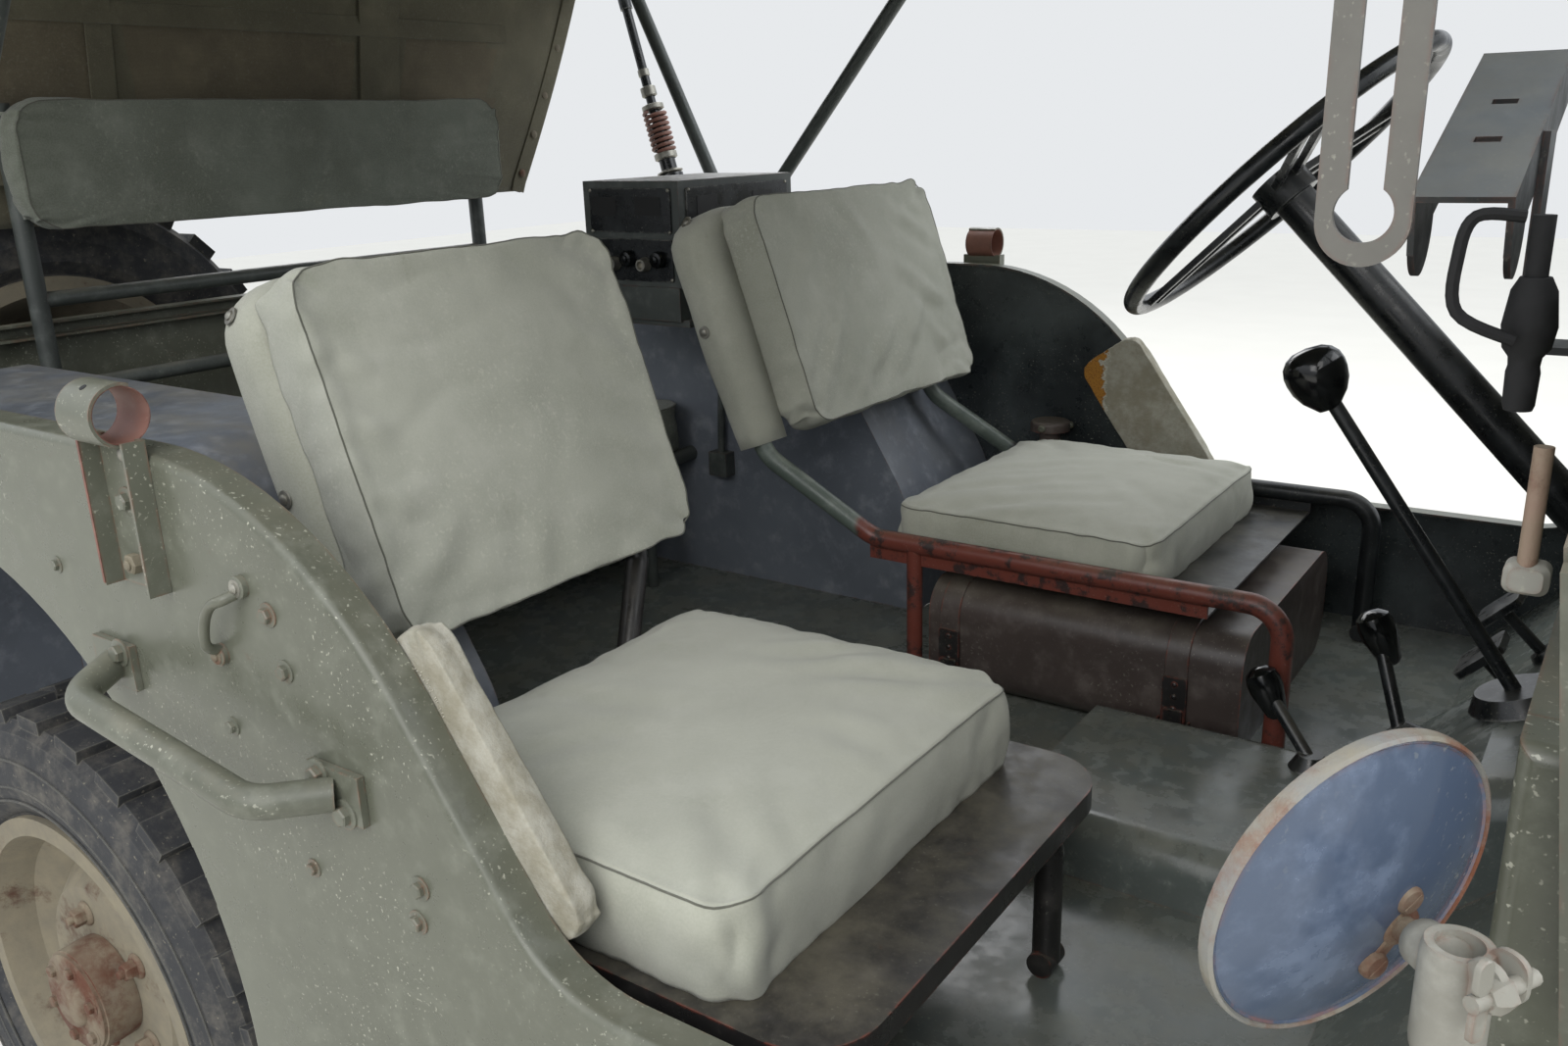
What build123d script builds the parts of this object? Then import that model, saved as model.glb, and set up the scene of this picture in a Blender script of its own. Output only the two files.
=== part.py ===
from build123d import *
import os
from math import atan2, cos, degrees, radians, sin, tan

# Open quarter-ton military 4x4, left-hand drive, canvas top up.
# Frame in millimetres: +X forward, +Y left, +Z up, origin on the ground
# under the middle of the overall box.

os.makedirs("parts", exist_ok=True)

# Driving dimensions
WHEELBASE = 2032
TRACK = 1232
FRONT_AXLE_X = 1067
REAR_AXLE_X = FRONT_AXLE_X - WHEELBASE
NOSE_X = 1667
TAIL_X = -1667

# Wheels and tyres
TYRE_R = 348
TYRE_W = 160
SHOULDER_R = 326
BEAD_R = 206
RIM_R = 220
RIM_W = 122
RIM_SHEET = 8
DISC_R = 150
HUB_R = 60
HUB_REACH = 76
HUB_Z = TYRE_R
DRUM_R = 118
DRUM_W = 61
RUN_GAP = 0.3
LUGS = 28
LUG_W = 42
LUG_DEPTH = 12

# Chassis
RAIL_Y = 350
RAIL_W = 44
RAIL_H = 96
RAIL_Z = HUB_Z + 130
RAIL_WALL = 4
RAIL_REAR_X = -1436
RAIL_FRONT_X = 1612

# Floor, tunnel and wheelhouses
FLOOR_Z = RAIL_Z + RAIL_H / 2 + 14
TOE_X = 250
TOE_Z = FLOOR_Z + 220
TUNNEL_Y = 150
TUNNEL_Z = FLOOR_Z + 60
TUNNEL_MID_Z = FLOOR_Z + 195
TUNNEL_FRONT_Z = FLOOR_Z + 225
HOUSE_Y = 420
HOUSE_Z = FLOOR_Z + 460
HOUSE_FRONT_X = -500
HOUSE_REAR_X = -1400

# Body tub
BODY_Y = 735
SKIN = 3
FLANGE = 30
SILL_Z = FLOOR_Z - 40
TOP_Z = FLOOR_Z + 508
DOOR_Z = FLOOR_Z + 182
TAIL_PANEL_X = -1440
FIREWALL_X = 467
COWL_X = 385
SHOULDER_X = -545
SHOULDER_ARC = 343
SLOPE = 54.7
FOOT_ARC = 110
DOOR_FRONT_ARC = 90
ARCH_X = -945
ARCH_R = 424
CORNER_R = 48

# Seats
PAN_EDGE = 22
SEAT_TUBE_R = 12.5


def wheel_places(sides=(("left", 1), ("right", -1))):
    """Name, side, X of each running wheel."""
    rows = []
    for end, x in (("front", FRONT_AXLE_X), ("rear", REAR_AXLE_X)):
        for side, sign in sides:
            rows.append((f"{end}_{side}", sign, x))
    return rows


# Tunnel roof line: X and Z of its corners, rear to front
TUNNEL_ROUND = 36
TUNNEL_REAR_X = -110
TUNNEL_LINE = ((-90, TUNNEL_Z), (190, TUNNEL_Z), (330, TUNNEL_MID_Z),
               (FIREWALL_X - SKIN - RUN_GAP, TUNNEL_FRONT_Z + 20))


def tunnel_seat(x, y):
    """Plane on the tunnel's roof at x and y, its normal out of the sheet."""
    for (x0, z0), (x1, z1) in zip(TUNNEL_LINE, TUNNEL_LINE[1:]):
        if x0 <= x <= x1:
            rise = (z1 - z0) / (x1 - x0)
            return Plane(origin=(x, y, z0 + (x - x0) * rise), x_dir=(0, 1, 0), z_dir=(-rise, 0, 1))


def side_face(y, inset=0):
    """One body side's face in the plane at y, shrunk by inset."""
    slope = radians(SLOPE)
    arc_end_x = SHOULDER_X + SHOULDER_ARC * sin(slope)
    arc_end_z = TOP_Z - SHOULDER_ARC * (1 - cos(slope))
    foot_z = DOOR_Z + FOOT_ARC * (1 - cos(slope))
    foot_x = arc_end_x + (arc_end_z - foot_z) / tan(slope)
    foot_end_x = foot_x + FOOT_ARC * sin(slope)
    door_front_x = COWL_X - DOOR_FRONT_ARC
    rear_x = TAIL_PANEL_X + CORNER_R
    with BuildSketch(Plane.XZ.offset(-y)) as face:
        with BuildLine():
            Polyline((SHOULDER_X, TOP_Z), (rear_x, TOP_Z), (rear_x, SILL_Z))
            Polyline((rear_x, SILL_Z), (FIREWALL_X, SILL_Z), (FIREWALL_X, TOP_Z))
            Polyline((FIREWALL_X, TOP_Z), (COWL_X, TOP_Z), (COWL_X, DOOR_Z + DOOR_FRONT_ARC))
            RadiusArc((COWL_X, DOOR_Z + DOOR_FRONT_ARC), (door_front_x, DOOR_Z), DOOR_FRONT_ARC)
            Line((door_front_x, DOOR_Z), (foot_end_x, DOOR_Z))
            RadiusArc((foot_end_x, DOOR_Z), (foot_x, foot_z), FOOT_ARC)
            Line((foot_x, foot_z), (arc_end_x, arc_end_z))
            RadiusArc((arc_end_x, arc_end_z), (SHOULDER_X, TOP_Z), -SHOULDER_ARC)
        make_face()
        with Locations((ARCH_X, SILL_Z)):
            Circle(ARCH_R, mode=Mode.SUBTRACT)
        if inset:
            offset(amount=-inset, kind=Kind.INTERSECTION, mode=Mode.REPLACE)
    return face.sketch


# Ladder frame: two box rails and their cross members
CROSS_X = (-1400, -760, -120, 560, 1330)
MOUNT_X = (-1390, -760, -120, 200)
SILENCER_X = -60
SILENCER_Y = -480
SILENCER_Z = RAIL_Z - 46
SILENCER_R = 56
SILENCER_LEN = 480
PIPE_R = 18
with BuildPart() as frame:
    with BuildSketch(Plane.YZ.offset(RAIL_REAR_X)):
        with Locations((-RAIL_Y, RAIL_Z), (RAIL_Y, RAIL_Z)):
            Rectangle(RAIL_W, RAIL_H)
            Rectangle(RAIL_W - 2 * RAIL_WALL, RAIL_H - 2 * RAIL_WALL, mode=Mode.SUBTRACT)
    extrude(amount=RAIL_FRONT_X - RAIL_REAR_X)
    for x in CROSS_X:
        with Locations((x, 0, RAIL_Z)):
            Box(60, 2 * RAIL_Y - RAIL_W + 1, 70)
            Box(60 + 2, 2 * RAIL_Y - RAIL_W - 8, 62, mode=Mode.SUBTRACT)
            Box(52, 2 * RAIL_Y - RAIL_W - 8, 70)
    for x in (FRONT_AXLE_X, REAR_AXLE_X):
        for end in (-1, 1):
            with Locations(*[(x + end * 440, y, RAIL_Z - RAIL_H / 2 - 3.5) for y in (-RAIL_Y, RAIL_Y)]):
                Box(44, RAIL_W, 7)
    for x in MOUNT_X:
        with Locations(*[(x, y, RAIL_Z + RAIL_H / 2 + 5.3) for y in (-RAIL_Y, RAIL_Y)]):
            Box(70, RAIL_W, 10.6)
    with Locations(Location((SILENCER_X, SILENCER_Y, SILENCER_Z), (0, 90, 0))):
        Cylinder(SILENCER_R, SILENCER_LEN)
    for x in (SILENCER_X - 170, SILENCER_X + 170):
        with Locations((x, (SILENCER_Y - RAIL_Y) / 2, SILENCER_Z + 20)):
            Box(24, -SILENCER_Y - RAIL_Y, 5)
    with BuildLine():
        path = FilletPolyline(
            (SILENCER_X - SILENCER_LEN / 2 + 10, SILENCER_Y, SILENCER_Z),
            (SILENCER_X - SILENCER_LEN / 2 - 90, SILENCER_Y, SILENCER_Z),
            (SILENCER_X - SILENCER_LEN / 2 - 130, SILENCER_Y - 190, SILENCER_Z - 10),
            radius=50,
        )
    with BuildSketch(Plane(origin=path @ 0, z_dir=path % 0)):
        Circle(PIPE_R)
    sweep(path=path)
frame.part.label = "frame"
export_step(frame.part, "parts/frame.step")

# Front bumper: channel across the frame horns
BUMPER_Y = 660
BUMPER_H = 120
BUMPER_D = 48
HOOK_R = 30
HOOK_W = 20
with BuildPart() as front_bumper:
    with BuildSketch(Plane.XZ.offset(-BUMPER_Y)):
        with Locations((NOSE_X - BUMPER_D / 2, RAIL_Z + 12)):
            Rectangle(BUMPER_D, BUMPER_H)
        with Locations((NOSE_X - BUMPER_D / 2 - 5, RAIL_Z + 12)):
            Rectangle(BUMPER_D, BUMPER_H - 10, mode=Mode.SUBTRACT)
    extrude(amount=2 * BUMPER_Y)
    with Locations(*[(RAIL_FRONT_X + 25, y, RAIL_Z) for y in (-RAIL_Y, RAIL_Y)]):
        Box(50, 40, 80)
    for y in (-RAIL_Y, RAIL_Y):
        with BuildSketch(Plane.XZ.offset(-y - HOOK_W / 2)):
            with Locations((NOSE_X - BUMPER_D / 2 - 8, RAIL_Z + 12 + BUMPER_H / 2 + HOOK_R - 6)):
                Circle(HOOK_R)
                Circle(HOOK_R - 12, mode=Mode.SUBTRACT)
                with Locations((-HOOK_R, 8)):
                    Rectangle(HOOK_R, 16, mode=Mode.SUBTRACT)
        extrude(amount=HOOK_W)
front_bumper.part.label = "front_bumper"
export_step(front_bumper.part, "parts/front_bumper.step")

# Rear bumperettes and pintle hook
PINTLE_EYE_R = 34
with BuildPart() as rear_fittings:
    for side in (-1, 1):
        with Locations((-1470, side * 480, RAIL_Z)):
            Box(60, 260, 96)
        with Locations((-1475, side * 480, RAIL_Z)):
            Box(60, 262, 84, mode=Mode.SUBTRACT)
        with Locations((RAIL_REAR_X - 20, side * RAIL_Y, RAIL_Z)):
            Box(40, 44, 90)
    with Locations((RAIL_REAR_X, 0, RAIL_Z)):
        Box(11.4, 130, 80)
    with Locations(Location((RAIL_REAR_X - 60, 0, RAIL_Z), (0, 90, 0))):
        Cylinder(28, 112)
    with BuildSketch(Plane.XZ.offset(-24)):
        with Locations((TAIL_X + 58, RAIL_Z)):
            Circle(58)
            Circle(PINTLE_EYE_R, mode=Mode.SUBTRACT)
    extrude(amount=48)
rear_fittings.part.label = "rear_fittings"
export_step(rear_fittings.part, "parts/rear_fittings.step")

# Body side panels: pressed sheet with a flange turned in all round its edge
FOLD_R = 7
with BuildPart() as body_sides:
    for side in (-1, 1):
        for inset, mode in ((0, Mode.ADD), (SKIN, Mode.SUBTRACT)):
            with BuildPart(mode=Mode.PRIVATE) as pressing:
                extrude(side_face(side * (BODY_Y - inset), inset), amount=side * FLANGE)
                fillet(pressing.faces().sort_by(Axis((0, 0, 0), (0, side, 0)))[-1].edges(), FOLD_R - inset)
            add(pressing.part, mode=mode)
body_sides.part.label = "body_sides"
export_step(body_sides.part, "parts/body_sides.step")

# Tail panel with rounded corners, folded top edge, and the carriers bolted to it
TAIL_LOW_Z = FLOOR_Z - 10
SPARE_Y = -330
SPARE_Z = FLOOR_Z + 342
SPARE_POST = 22 + TYRE_W / 2 + HUB_REACH / 2 - RIM_SHEET - RUN_GAP
CAN_Y = 330
CAN_Z = FLOOR_Z + 260
CAN_H = 440
TRAY_D = 190
TRAY_W = 360
TRAY_T = 4
TAIL_LAMP_Y = 642
TAIL_LAMP_Z = FLOOR_Z + 92
TAIL_LAMP_R = 35
TAIL_LAMP_D = 52
with BuildPart() as rear_panel:
    with BuildSketch(Plane.XY.offset(TAIL_LOW_Z)):
        with BuildLine():
            FilletPolyline(
                (TAIL_PANEL_X + CORNER_R - RUN_GAP, BODY_Y),
                (TAIL_PANEL_X, BODY_Y),
                (TAIL_PANEL_X, -BODY_Y),
                (TAIL_PANEL_X + CORNER_R - RUN_GAP, -BODY_Y),
                radius=CORNER_R - 1,
            )
            offset(amount=SKIN, side=Side.LEFT, closed=True)
        make_face()
    extrude(amount=TOP_Z - TAIL_LOW_Z)
    with Locations((TAIL_PANEL_X + SKIN + 12, 0, TOP_Z - 11)):
        Box(24, 2 * BODY_Y - 2 * CORNER_R, 22)
        Box(24, 2 * BODY_Y - 2 * CORNER_R - 6, 16, mode=Mode.SUBTRACT)
    with Locations((TAIL_PANEL_X - 6, SPARE_Y, SPARE_Z)):
        Box(12, 240, 160)
    with Locations(Location((TAIL_PANEL_X - SPARE_POST / 2, SPARE_Y, SPARE_Z), (0, 90, 0))):
        Cylinder(62, SPARE_POST)
    tray_z = CAN_Z - CAN_H / 2 - RUN_GAP
    with Locations((TAIL_PANEL_X - TRAY_D / 2, CAN_Y, tray_z + 16)):
        Box(TRAY_D, TRAY_W, 32)
        Box(TRAY_D - 2 * TRAY_T, TRAY_W - 2 * TRAY_T, 32, mode=Mode.SUBTRACT)
    with Locations((TAIL_PANEL_X - TRAY_D / 2, CAN_Y, tray_z - TRAY_T / 2)):
        Box(TRAY_D, TRAY_W, TRAY_T)
    for y in (-TAIL_LAMP_Y, TAIL_LAMP_Y):
        with Locations(Location((TAIL_PANEL_X - TAIL_LAMP_D / 2, y, TAIL_LAMP_Z), (0, 90, 0))):
            Cylinder(TAIL_LAMP_R, TAIL_LAMP_D)
        with Locations(Location((TAIL_PANEL_X - TAIL_LAMP_D, y, TAIL_LAMP_Z), (0, 90, 0))):
            Cylinder(TAIL_LAMP_R - 4, 6, mode=Mode.SUBTRACT)
            Box(8, 44, 6)
rear_panel.part.label = "rear_panel"
export_step(rear_panel.part, "parts/rear_panel.step")

# Wheelhouses: open boxes over the rear wheels, inside the sides
HOUSE_OUT_Y = BODY_Y - FLANGE - RUN_GAP
with BuildPart() as wheelhouses:
    with BuildSketch(Plane.XZ.offset(-HOUSE_Y)) as house:
        with BuildLine():
            FilletPolyline(
                (HOUSE_REAR_X, FLOOR_Z),
                (HOUSE_REAR_X, HOUSE_Z),
                (HOUSE_FRONT_X - 190, HOUSE_Z),
                (HOUSE_FRONT_X - 20, FLOOR_Z + 180),
                (HOUSE_FRONT_X, FLOOR_Z),
                radius=(20, 110, 150),
            )
            Line((HOUSE_FRONT_X, FLOOR_Z), (HOUSE_REAR_X, FLOOR_Z))
        make_face()
    extrude(amount=-(HOUSE_OUT_Y - HOUSE_Y))
    with BuildSketch(Plane.XZ.offset(-HOUSE_Y - SKIN)):
        add(house.sketch)
        offset(amount=-SKIN, kind=Kind.INTERSECTION)
        with Locations(((HOUSE_FRONT_X + HOUSE_REAR_X) / 2, FLOOR_Z + 5)):
            Rectangle(HOUSE_FRONT_X - HOUSE_REAR_X - 2 * SKIN, 20)
    extrude(amount=-(HOUSE_OUT_Y - HOUSE_Y), mode=Mode.SUBTRACT)
    mirror(about=Plane.XZ)
wheelhouses.part.label = "wheelhouses"
export_step(wheelhouses.part, "parts/wheelhouses.step")

# Floor: rear floor, front floor, toe board and the raised gearbox tunnel
FLOOR_Y = BODY_Y - SKIN - RUN_GAP
TOE_Y = FLOOR_Y - FOLD_R + SKIN
with BuildPart() as floor_pan:
    with BuildSketch(Plane.XY.offset(FLOOR_Z - SKIN)):
        with Locations(((TAIL_PANEL_X + SKIN + RUN_GAP + HOUSE_FRONT_X) / 2, 0)):
            Rectangle(HOUSE_FRONT_X - TAIL_PANEL_X - SKIN + RUN_GAP, 2 * HOUSE_Y - 2 * RUN_GAP)
        with Locations(((HOUSE_FRONT_X + RUN_GAP + TOE_X) / 2, 0)):
            Rectangle(TOE_X - HOUSE_FRONT_X - RUN_GAP, 2 * FLOOR_Y)
    extrude(amount=SKIN)
    with BuildSketch(Plane.XZ.offset(-TOE_Y)):
        with BuildLine():
            Polyline(
                (TOE_X - 1, FLOOR_Z),
                (TOE_X, FLOOR_Z),
                (FIREWALL_X - SKIN - RUN_GAP, TOE_Z),
                (FIREWALL_X - SKIN - RUN_GAP, TOE_Z - 5),
                (TOE_X + 2, FLOOR_Z - SKIN),
                (TOE_X - 1, FLOOR_Z - SKIN),
                (TOE_X - 1, FLOOR_Z),
            )
        make_face()
    extrude(amount=2 * TOE_Y)
    for inset, mode in ((0, Mode.ADD), (SKIN, Mode.SUBTRACT)):
        low_z = FLOOR_Z - SKIN - 2 * inset
        front_x = FIREWALL_X - SKIN - RUN_GAP + inset
        with BuildPart(mode=Mode.PRIVATE) as hump:
            with BuildSketch(Plane.XZ.offset(-TUNNEL_Y + inset)):
                with BuildLine():
                    Polyline(
                        (TUNNEL_REAR_X + 2 * inset, low_z),
                        *[(x + inset * drop, z - inset) for (x, z), drop in zip(TUNNEL_LINE, (1, 0, 0))],
                        (front_x, TUNNEL_LINE[-1][1] - inset),
                        (front_x, low_z),
                        (TUNNEL_REAR_X + 2 * inset, low_z),
                    )
                make_face()
            extrude(amount=2 * (TUNNEL_Y - inset))
            fillet(
                hump.edges().filter_by_position(Axis.Z, TUNNEL_Z - 5, TOP_Z).filter_by(Axis.Y, reverse=True)
                .filter_by(Axis.Z, reverse=True),
                TUNNEL_ROUND - inset,
            )
        add(hump.part, mode=mode)
floor_pan.part.label = "floor_pan"
export_step(floor_pan.part, "parts/floor_pan.step")

# Cowl: firewall, scuttle top and dash panel in one hollow pressing
# Dash gauges: radius, Y, height over the middle one
GAUGE_Z = TOP_Z - 63
GAUGES = ((48, 60, 0), (24, 140, 25), (24, 140, -30), (24, -20, 25), (24, -20, -30))
COWL_TOP_Z = TOP_Z
DASH_Z = TOP_Z - 143
COWL_Y = BODY_Y - FLANGE - RUN_GAP
with BuildPart() as cowl:
    with BuildSketch(Plane.XZ.offset(-COWL_Y)):
        with BuildLine():
            Polyline(
                (COWL_X, DASH_Z),
                (COWL_X, COWL_TOP_Z),
                (FIREWALL_X, COWL_TOP_Z),
                (FIREWALL_X, FLOOR_Z),
                (FIREWALL_X - SKIN, FLOOR_Z),
                (FIREWALL_X - SKIN, COWL_TOP_Z - SKIN),
                (COWL_X + SKIN, COWL_TOP_Z - SKIN),
                (COWL_X + SKIN, DASH_Z),
                (COWL_X, DASH_Z),
            )
        make_face()
    extrude(amount=2 * COWL_Y)
    with BuildSketch(Plane.YZ.offset(FIREWALL_X)):
        with Locations((0, (FLOOR_Z + TUNNEL_FRONT_Z) / 2 - 4)):
            Rectangle(2 * TUNNEL_Y - 12, TUNNEL_FRONT_Z - FLOOR_Z + 16)
    extrude(amount=-SKIN, mode=Mode.SUBTRACT)
    for r, y, rise in GAUGES:
        with Locations(Location((COWL_X - 4, y, GAUGE_Z + rise), (0, 90, 0))):
            Cylinder(r, 10)
cowl.part.label = "cowl"
export_step(cowl.part, "parts/cowl.step")

# Hood: tapered pressing with rounded shoulders, hinged at the cowl
HOOD_REAR_X = FIREWALL_X + 6
HOOD_FRONT_X = 1296
HOOD_REAR_Y = 560
HOOD_FRONT_Y = 492
HOOD_REAR_Z = TOP_Z - 2
HOOD_FRONT_Z = TOP_Z - 46
HOOD_SIDE_Z = FLOOR_Z + 301
HOOD_ROUND = 48
HINGE_R = 6
HINGE_X = 470
HINGE_Z = TOP_Z + RUN_GAP + HINGE_R
HINGE_LEN = 700
HOOD_ENDS = ((HOOD_REAR_X, HOOD_REAR_Y, HOOD_REAR_Z), (HOOD_FRONT_X, HOOD_FRONT_Y, HOOD_FRONT_Z))
with BuildPart() as hood:
    for depth, mode in ((0, Mode.ADD), (SKIN, Mode.SUBTRACT)):
        for x, y, z in HOOD_ENDS:
            with BuildSketch(Plane.YZ.offset(x)):
                with BuildLine():
                    FilletPolyline(
                        (-y + depth, HOOD_SIDE_Z - depth),
                        (-y + depth, z - depth),
                        (y - depth, z - depth),
                        (y - depth, HOOD_SIDE_Z - depth),
                        radius=HOOD_ROUND - depth,
                    )
                    Line((y - depth, HOOD_SIDE_Z - depth), (-y + depth, HOOD_SIDE_Z - depth))
                make_face()
        loft(mode=mode)
    with Locations(Location((HINGE_X, 0, HINGE_Z), (90, 0, 0))):
        Cylinder(HINGE_R, HINGE_LEN)
    with Locations((HINGE_X + 15, 0, (HINGE_Z + HOOD_REAR_Z - 4) / 2)):
        Box(30, HINGE_LEN, HINGE_Z - HOOD_REAR_Z + 4)
hood.part.label = "hood"
export_step(hood.part, "parts/hood.step")

# Grille: slotted panel with lamp openings
GRILLE_X = 1306
GRILLE_Y = 490
GRILLE_LOW_Z = RAIL_Z + RAIL_H / 2 + RUN_GAP
SLOT_COUNT = 9
SLOT_PITCH = 50
SLOT_W = 28
SLOT_H = 330
LAMP_Y = 372
LAMP_Z = HOOD_FRONT_Z - 144
LAMP_R = 84
# Half outline of the panel: Y and Z up its left edge
GRILLE_EDGE = (
    (410, GRILLE_LOW_Z),
    (410, HOOD_FRONT_Z - 362),
    (GRILLE_Y, HOOD_FRONT_Z - 302),
    (GRILLE_Y, HOOD_FRONT_Z),
)
with BuildPart() as grille:
    with BuildSketch(Plane.YZ.offset(GRILLE_X)):
        with BuildLine():
            FilletPolyline(
                *GRILLE_EDGE,
                *[(-y, z) for y, z in reversed(GRILLE_EDGE)],
                radius=HOOD_ROUND,
                close=True,
            )
        make_face()
        with Locations((0, HOOD_FRONT_Z - 202)):
            with GridLocations(SLOT_PITCH, 0, SLOT_COUNT, 1):
                SlotOverall(SLOT_H, SLOT_W, rotation=90, mode=Mode.SUBTRACT)
        with Locations((-LAMP_Y, LAMP_Z), (LAMP_Y, LAMP_Z)):
            Circle(LAMP_R + 6, mode=Mode.SUBTRACT)
    extrude(amount=SKIN)
grille.part.label = "grille"
export_step(grille.part, "parts/grille.step")

# Headlamps: bowl behind the grille, domed lens at its front
LENS_RISE = 18
LENS_ARC = (LAMP_R ** 2 + LENS_RISE ** 2) / (2 * LENS_RISE)
with BuildPart() as headlamps:
    for y in (-LAMP_Y, LAMP_Y):
        with BuildSketch(Plane.XZ.offset(-y)):
            with BuildLine():
                Line((GRILLE_X - 78, LAMP_Z), (GRILLE_X - 78, LAMP_Z + 34))
                Polyline(
                    (GRILLE_X - 78, LAMP_Z + 34),
                    (GRILLE_X - 20, LAMP_Z + LAMP_R),
                    (GRILLE_X - 5, LAMP_Z + LAMP_R + 14),
                    (GRILLE_X - RUN_GAP, LAMP_Z + LAMP_R + 14),
                    (GRILLE_X - RUN_GAP, LAMP_Z + LAMP_R),
                    (GRILLE_X - 8, LAMP_Z + LAMP_R),
                )
                RadiusArc((GRILLE_X - 8, LAMP_Z + LAMP_R), (GRILLE_X - 8 + LENS_RISE, LAMP_Z), LENS_ARC)
                Line((GRILLE_X - 8 + LENS_RISE, LAMP_Z), (GRILLE_X - 78, LAMP_Z))
            make_face()
        revolve(axis=Axis((0, y, LAMP_Z), (1, 0, 0)))
headlamps.part.label = "headlamps"
export_step(headlamps.part, "parts/headlamps.step")

# Front fenders: flat top, sloped rear skirt, turned-down outer edge, inner apron
FENDER_Z = FLOOR_Z + 292
FENDER_FRONT_X = 1420
FENDER_IN_Y = 462
FENDER_LIP = 60
DIM_LAMP_X = 1250
DIM_LAMP_Y = 610
DIM_LAMP_R = 42
with BuildPart() as fenders:
    with BuildSketch(Plane.XZ.offset(-FENDER_IN_Y)):
        with BuildLine() as crown:
            FilletPolyline(
                (FENDER_FRONT_X, FENDER_Z - 90),
                (FENDER_FRONT_X - 30, FENDER_Z),
                (760, FENDER_Z),
                (530, FLOOR_Z + 20),
                (FIREWALL_X + RUN_GAP, FLOOR_Z - 20),
                radius=(45, 70, 60),
            )
            offset(amount=SKIN, side=Side.LEFT, closed=True)
        make_face()
    extrude(amount=-(BODY_Y - FENDER_IN_Y))
    with BuildSketch(Plane.XZ.offset(-BODY_Y + SKIN)):
        with BuildLine():
            FilletPolyline(
                (FENDER_FRONT_X, FENDER_Z - 90),
                (FENDER_FRONT_X - 30, FENDER_Z),
                (760, FENDER_Z),
                (530, FLOOR_Z + 20),
                (FIREWALL_X + RUN_GAP, FLOOR_Z - 20),
                radius=(45, 70, 60),
            )
            offset(amount=FENDER_LIP, side=Side.LEFT, closed=True)
        make_face()
    extrude(amount=-SKIN)
    with Locations((970, FENDER_IN_Y + SKIN / 2, FENDER_Z - 77)):
        Box(640, SKIN, 150)
    with Locations((GRILLE_X + 100, FENDER_IN_Y, FENDER_Z)):
        Box(230, 2 * (GRILLE_Y + 3 - FENDER_IN_Y), 200, mode=Mode.SUBTRACT)
    mirror(about=Plane.XZ)
    with Locations((DIM_LAMP_X, DIM_LAMP_Y, FENDER_Z + 25)):
        Cylinder(9, 50)
    with Locations(Location((DIM_LAMP_X, DIM_LAMP_Y, FENDER_Z + 82), (0, 90, 0))):
        Cylinder(DIM_LAMP_R, 70)
    with Locations(Location((DIM_LAMP_X + 35, DIM_LAMP_Y, FENDER_Z + 82), (0, 90, 0))):
        Cylinder(DIM_LAMP_R - 4, 24, mode=Mode.SUBTRACT)
fenders.part.label = "fenders"
export_step(fenders.part, "parts/fenders.step")

# Engine, gearbox, transfer case and propeller shafts
DIFF_Y = -150
PINION_REACH = 155
SHAFT_R = 22
SHAFT_Z = FLOOR_Z - 135
SHAFT_END_GAP = 6
SHAFTS = (
    (FRONT_AXLE_X - PINION_REACH - SHAFT_END_GAP, 178),
    (REAR_AXLE_X + PINION_REACH + SHAFT_END_GAP, -58),
)
with BuildPart() as engine_block:
    with Locations((790, 0, FLOOR_Z + 171.8)):
        Box(560, 300, 397)
engine_block.part.label = "engine_block"
export_step(engine_block.part, "parts/engine_block.step")

with BuildPart() as gearbox:
    with Locations((330, 0, FLOOR_Z - 15)):
        Box(360 - 2 * RUN_GAP, 220, 120)
    with Locations((455, 0, FLOOR_Z + 50)):
        Box(108, 240, 200)
    with Locations((60, -90, FLOOR_Z - 90)):
        Box(240, 230, 160)
    for x0, x1 in SHAFTS:
        start = Vector(x0, DIFF_Y, HUB_Z)
        end = Vector(x1, DIFF_Y, SHAFT_Z)
        shaft = Plane(origin=(start + end) / 2, z_dir=end - start)
        with Locations(shaft.location):
            Cylinder(SHAFT_R, (end - start).length)
gearbox.part.label = "gearbox"
export_step(gearbox.part, "parts/gearbox.step")

with BuildPart() as radiator:
    with Locations((GRILLE_X - RUN_GAP - 35, 0, FLOOR_Z + 250)):
        Box(70, 480, 380)
radiator.part.label = "radiator"
export_step(radiator.part, "parts/radiator.step")

# Axles: tube, offset differential, end flanges; and propeller shafts
AXLE_TUBE_R = 36
KING_Y = TRACK / 2 - 92
KING_PIN_R = 20
KING_PIN_H = 136
KING_BALL_R = 58
PLATE_Y = TRACK / 2 - 30 - RUN_GAP
PLATE_T = 18
AXLES = (("front", FRONT_AXLE_X, KING_Y - KING_BALL_R - RUN_GAP), ("rear", REAR_AXLE_X, PLATE_Y - PLATE_T + 1))
with BuildPart() as axles:
    for name, x, reach in AXLES:
        with Locations(Location((x, 0, HUB_Z), (90, 0, 0))):
            Cylinder(AXLE_TUBE_R, 2 * reach)
        with Locations((x, DIFF_Y, HUB_Z)):
            Sphere(112)
        with Locations(Location((x + (-110 if name == "front" else 110), DIFF_Y, HUB_Z), (0, 90, 0))):
            Cylinder(52, 90)
        if name == "rear":
            with Locations(*[Location((x, s * (PLATE_Y - PLATE_T / 2), HUB_Z), (90, 0, 0)) for s in (-1, 1)]):
                Cylinder(DRUM_R - 6, PLATE_T)
axles.part.label = "axles"
export_step(axles.part, "parts/axles.step")

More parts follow.
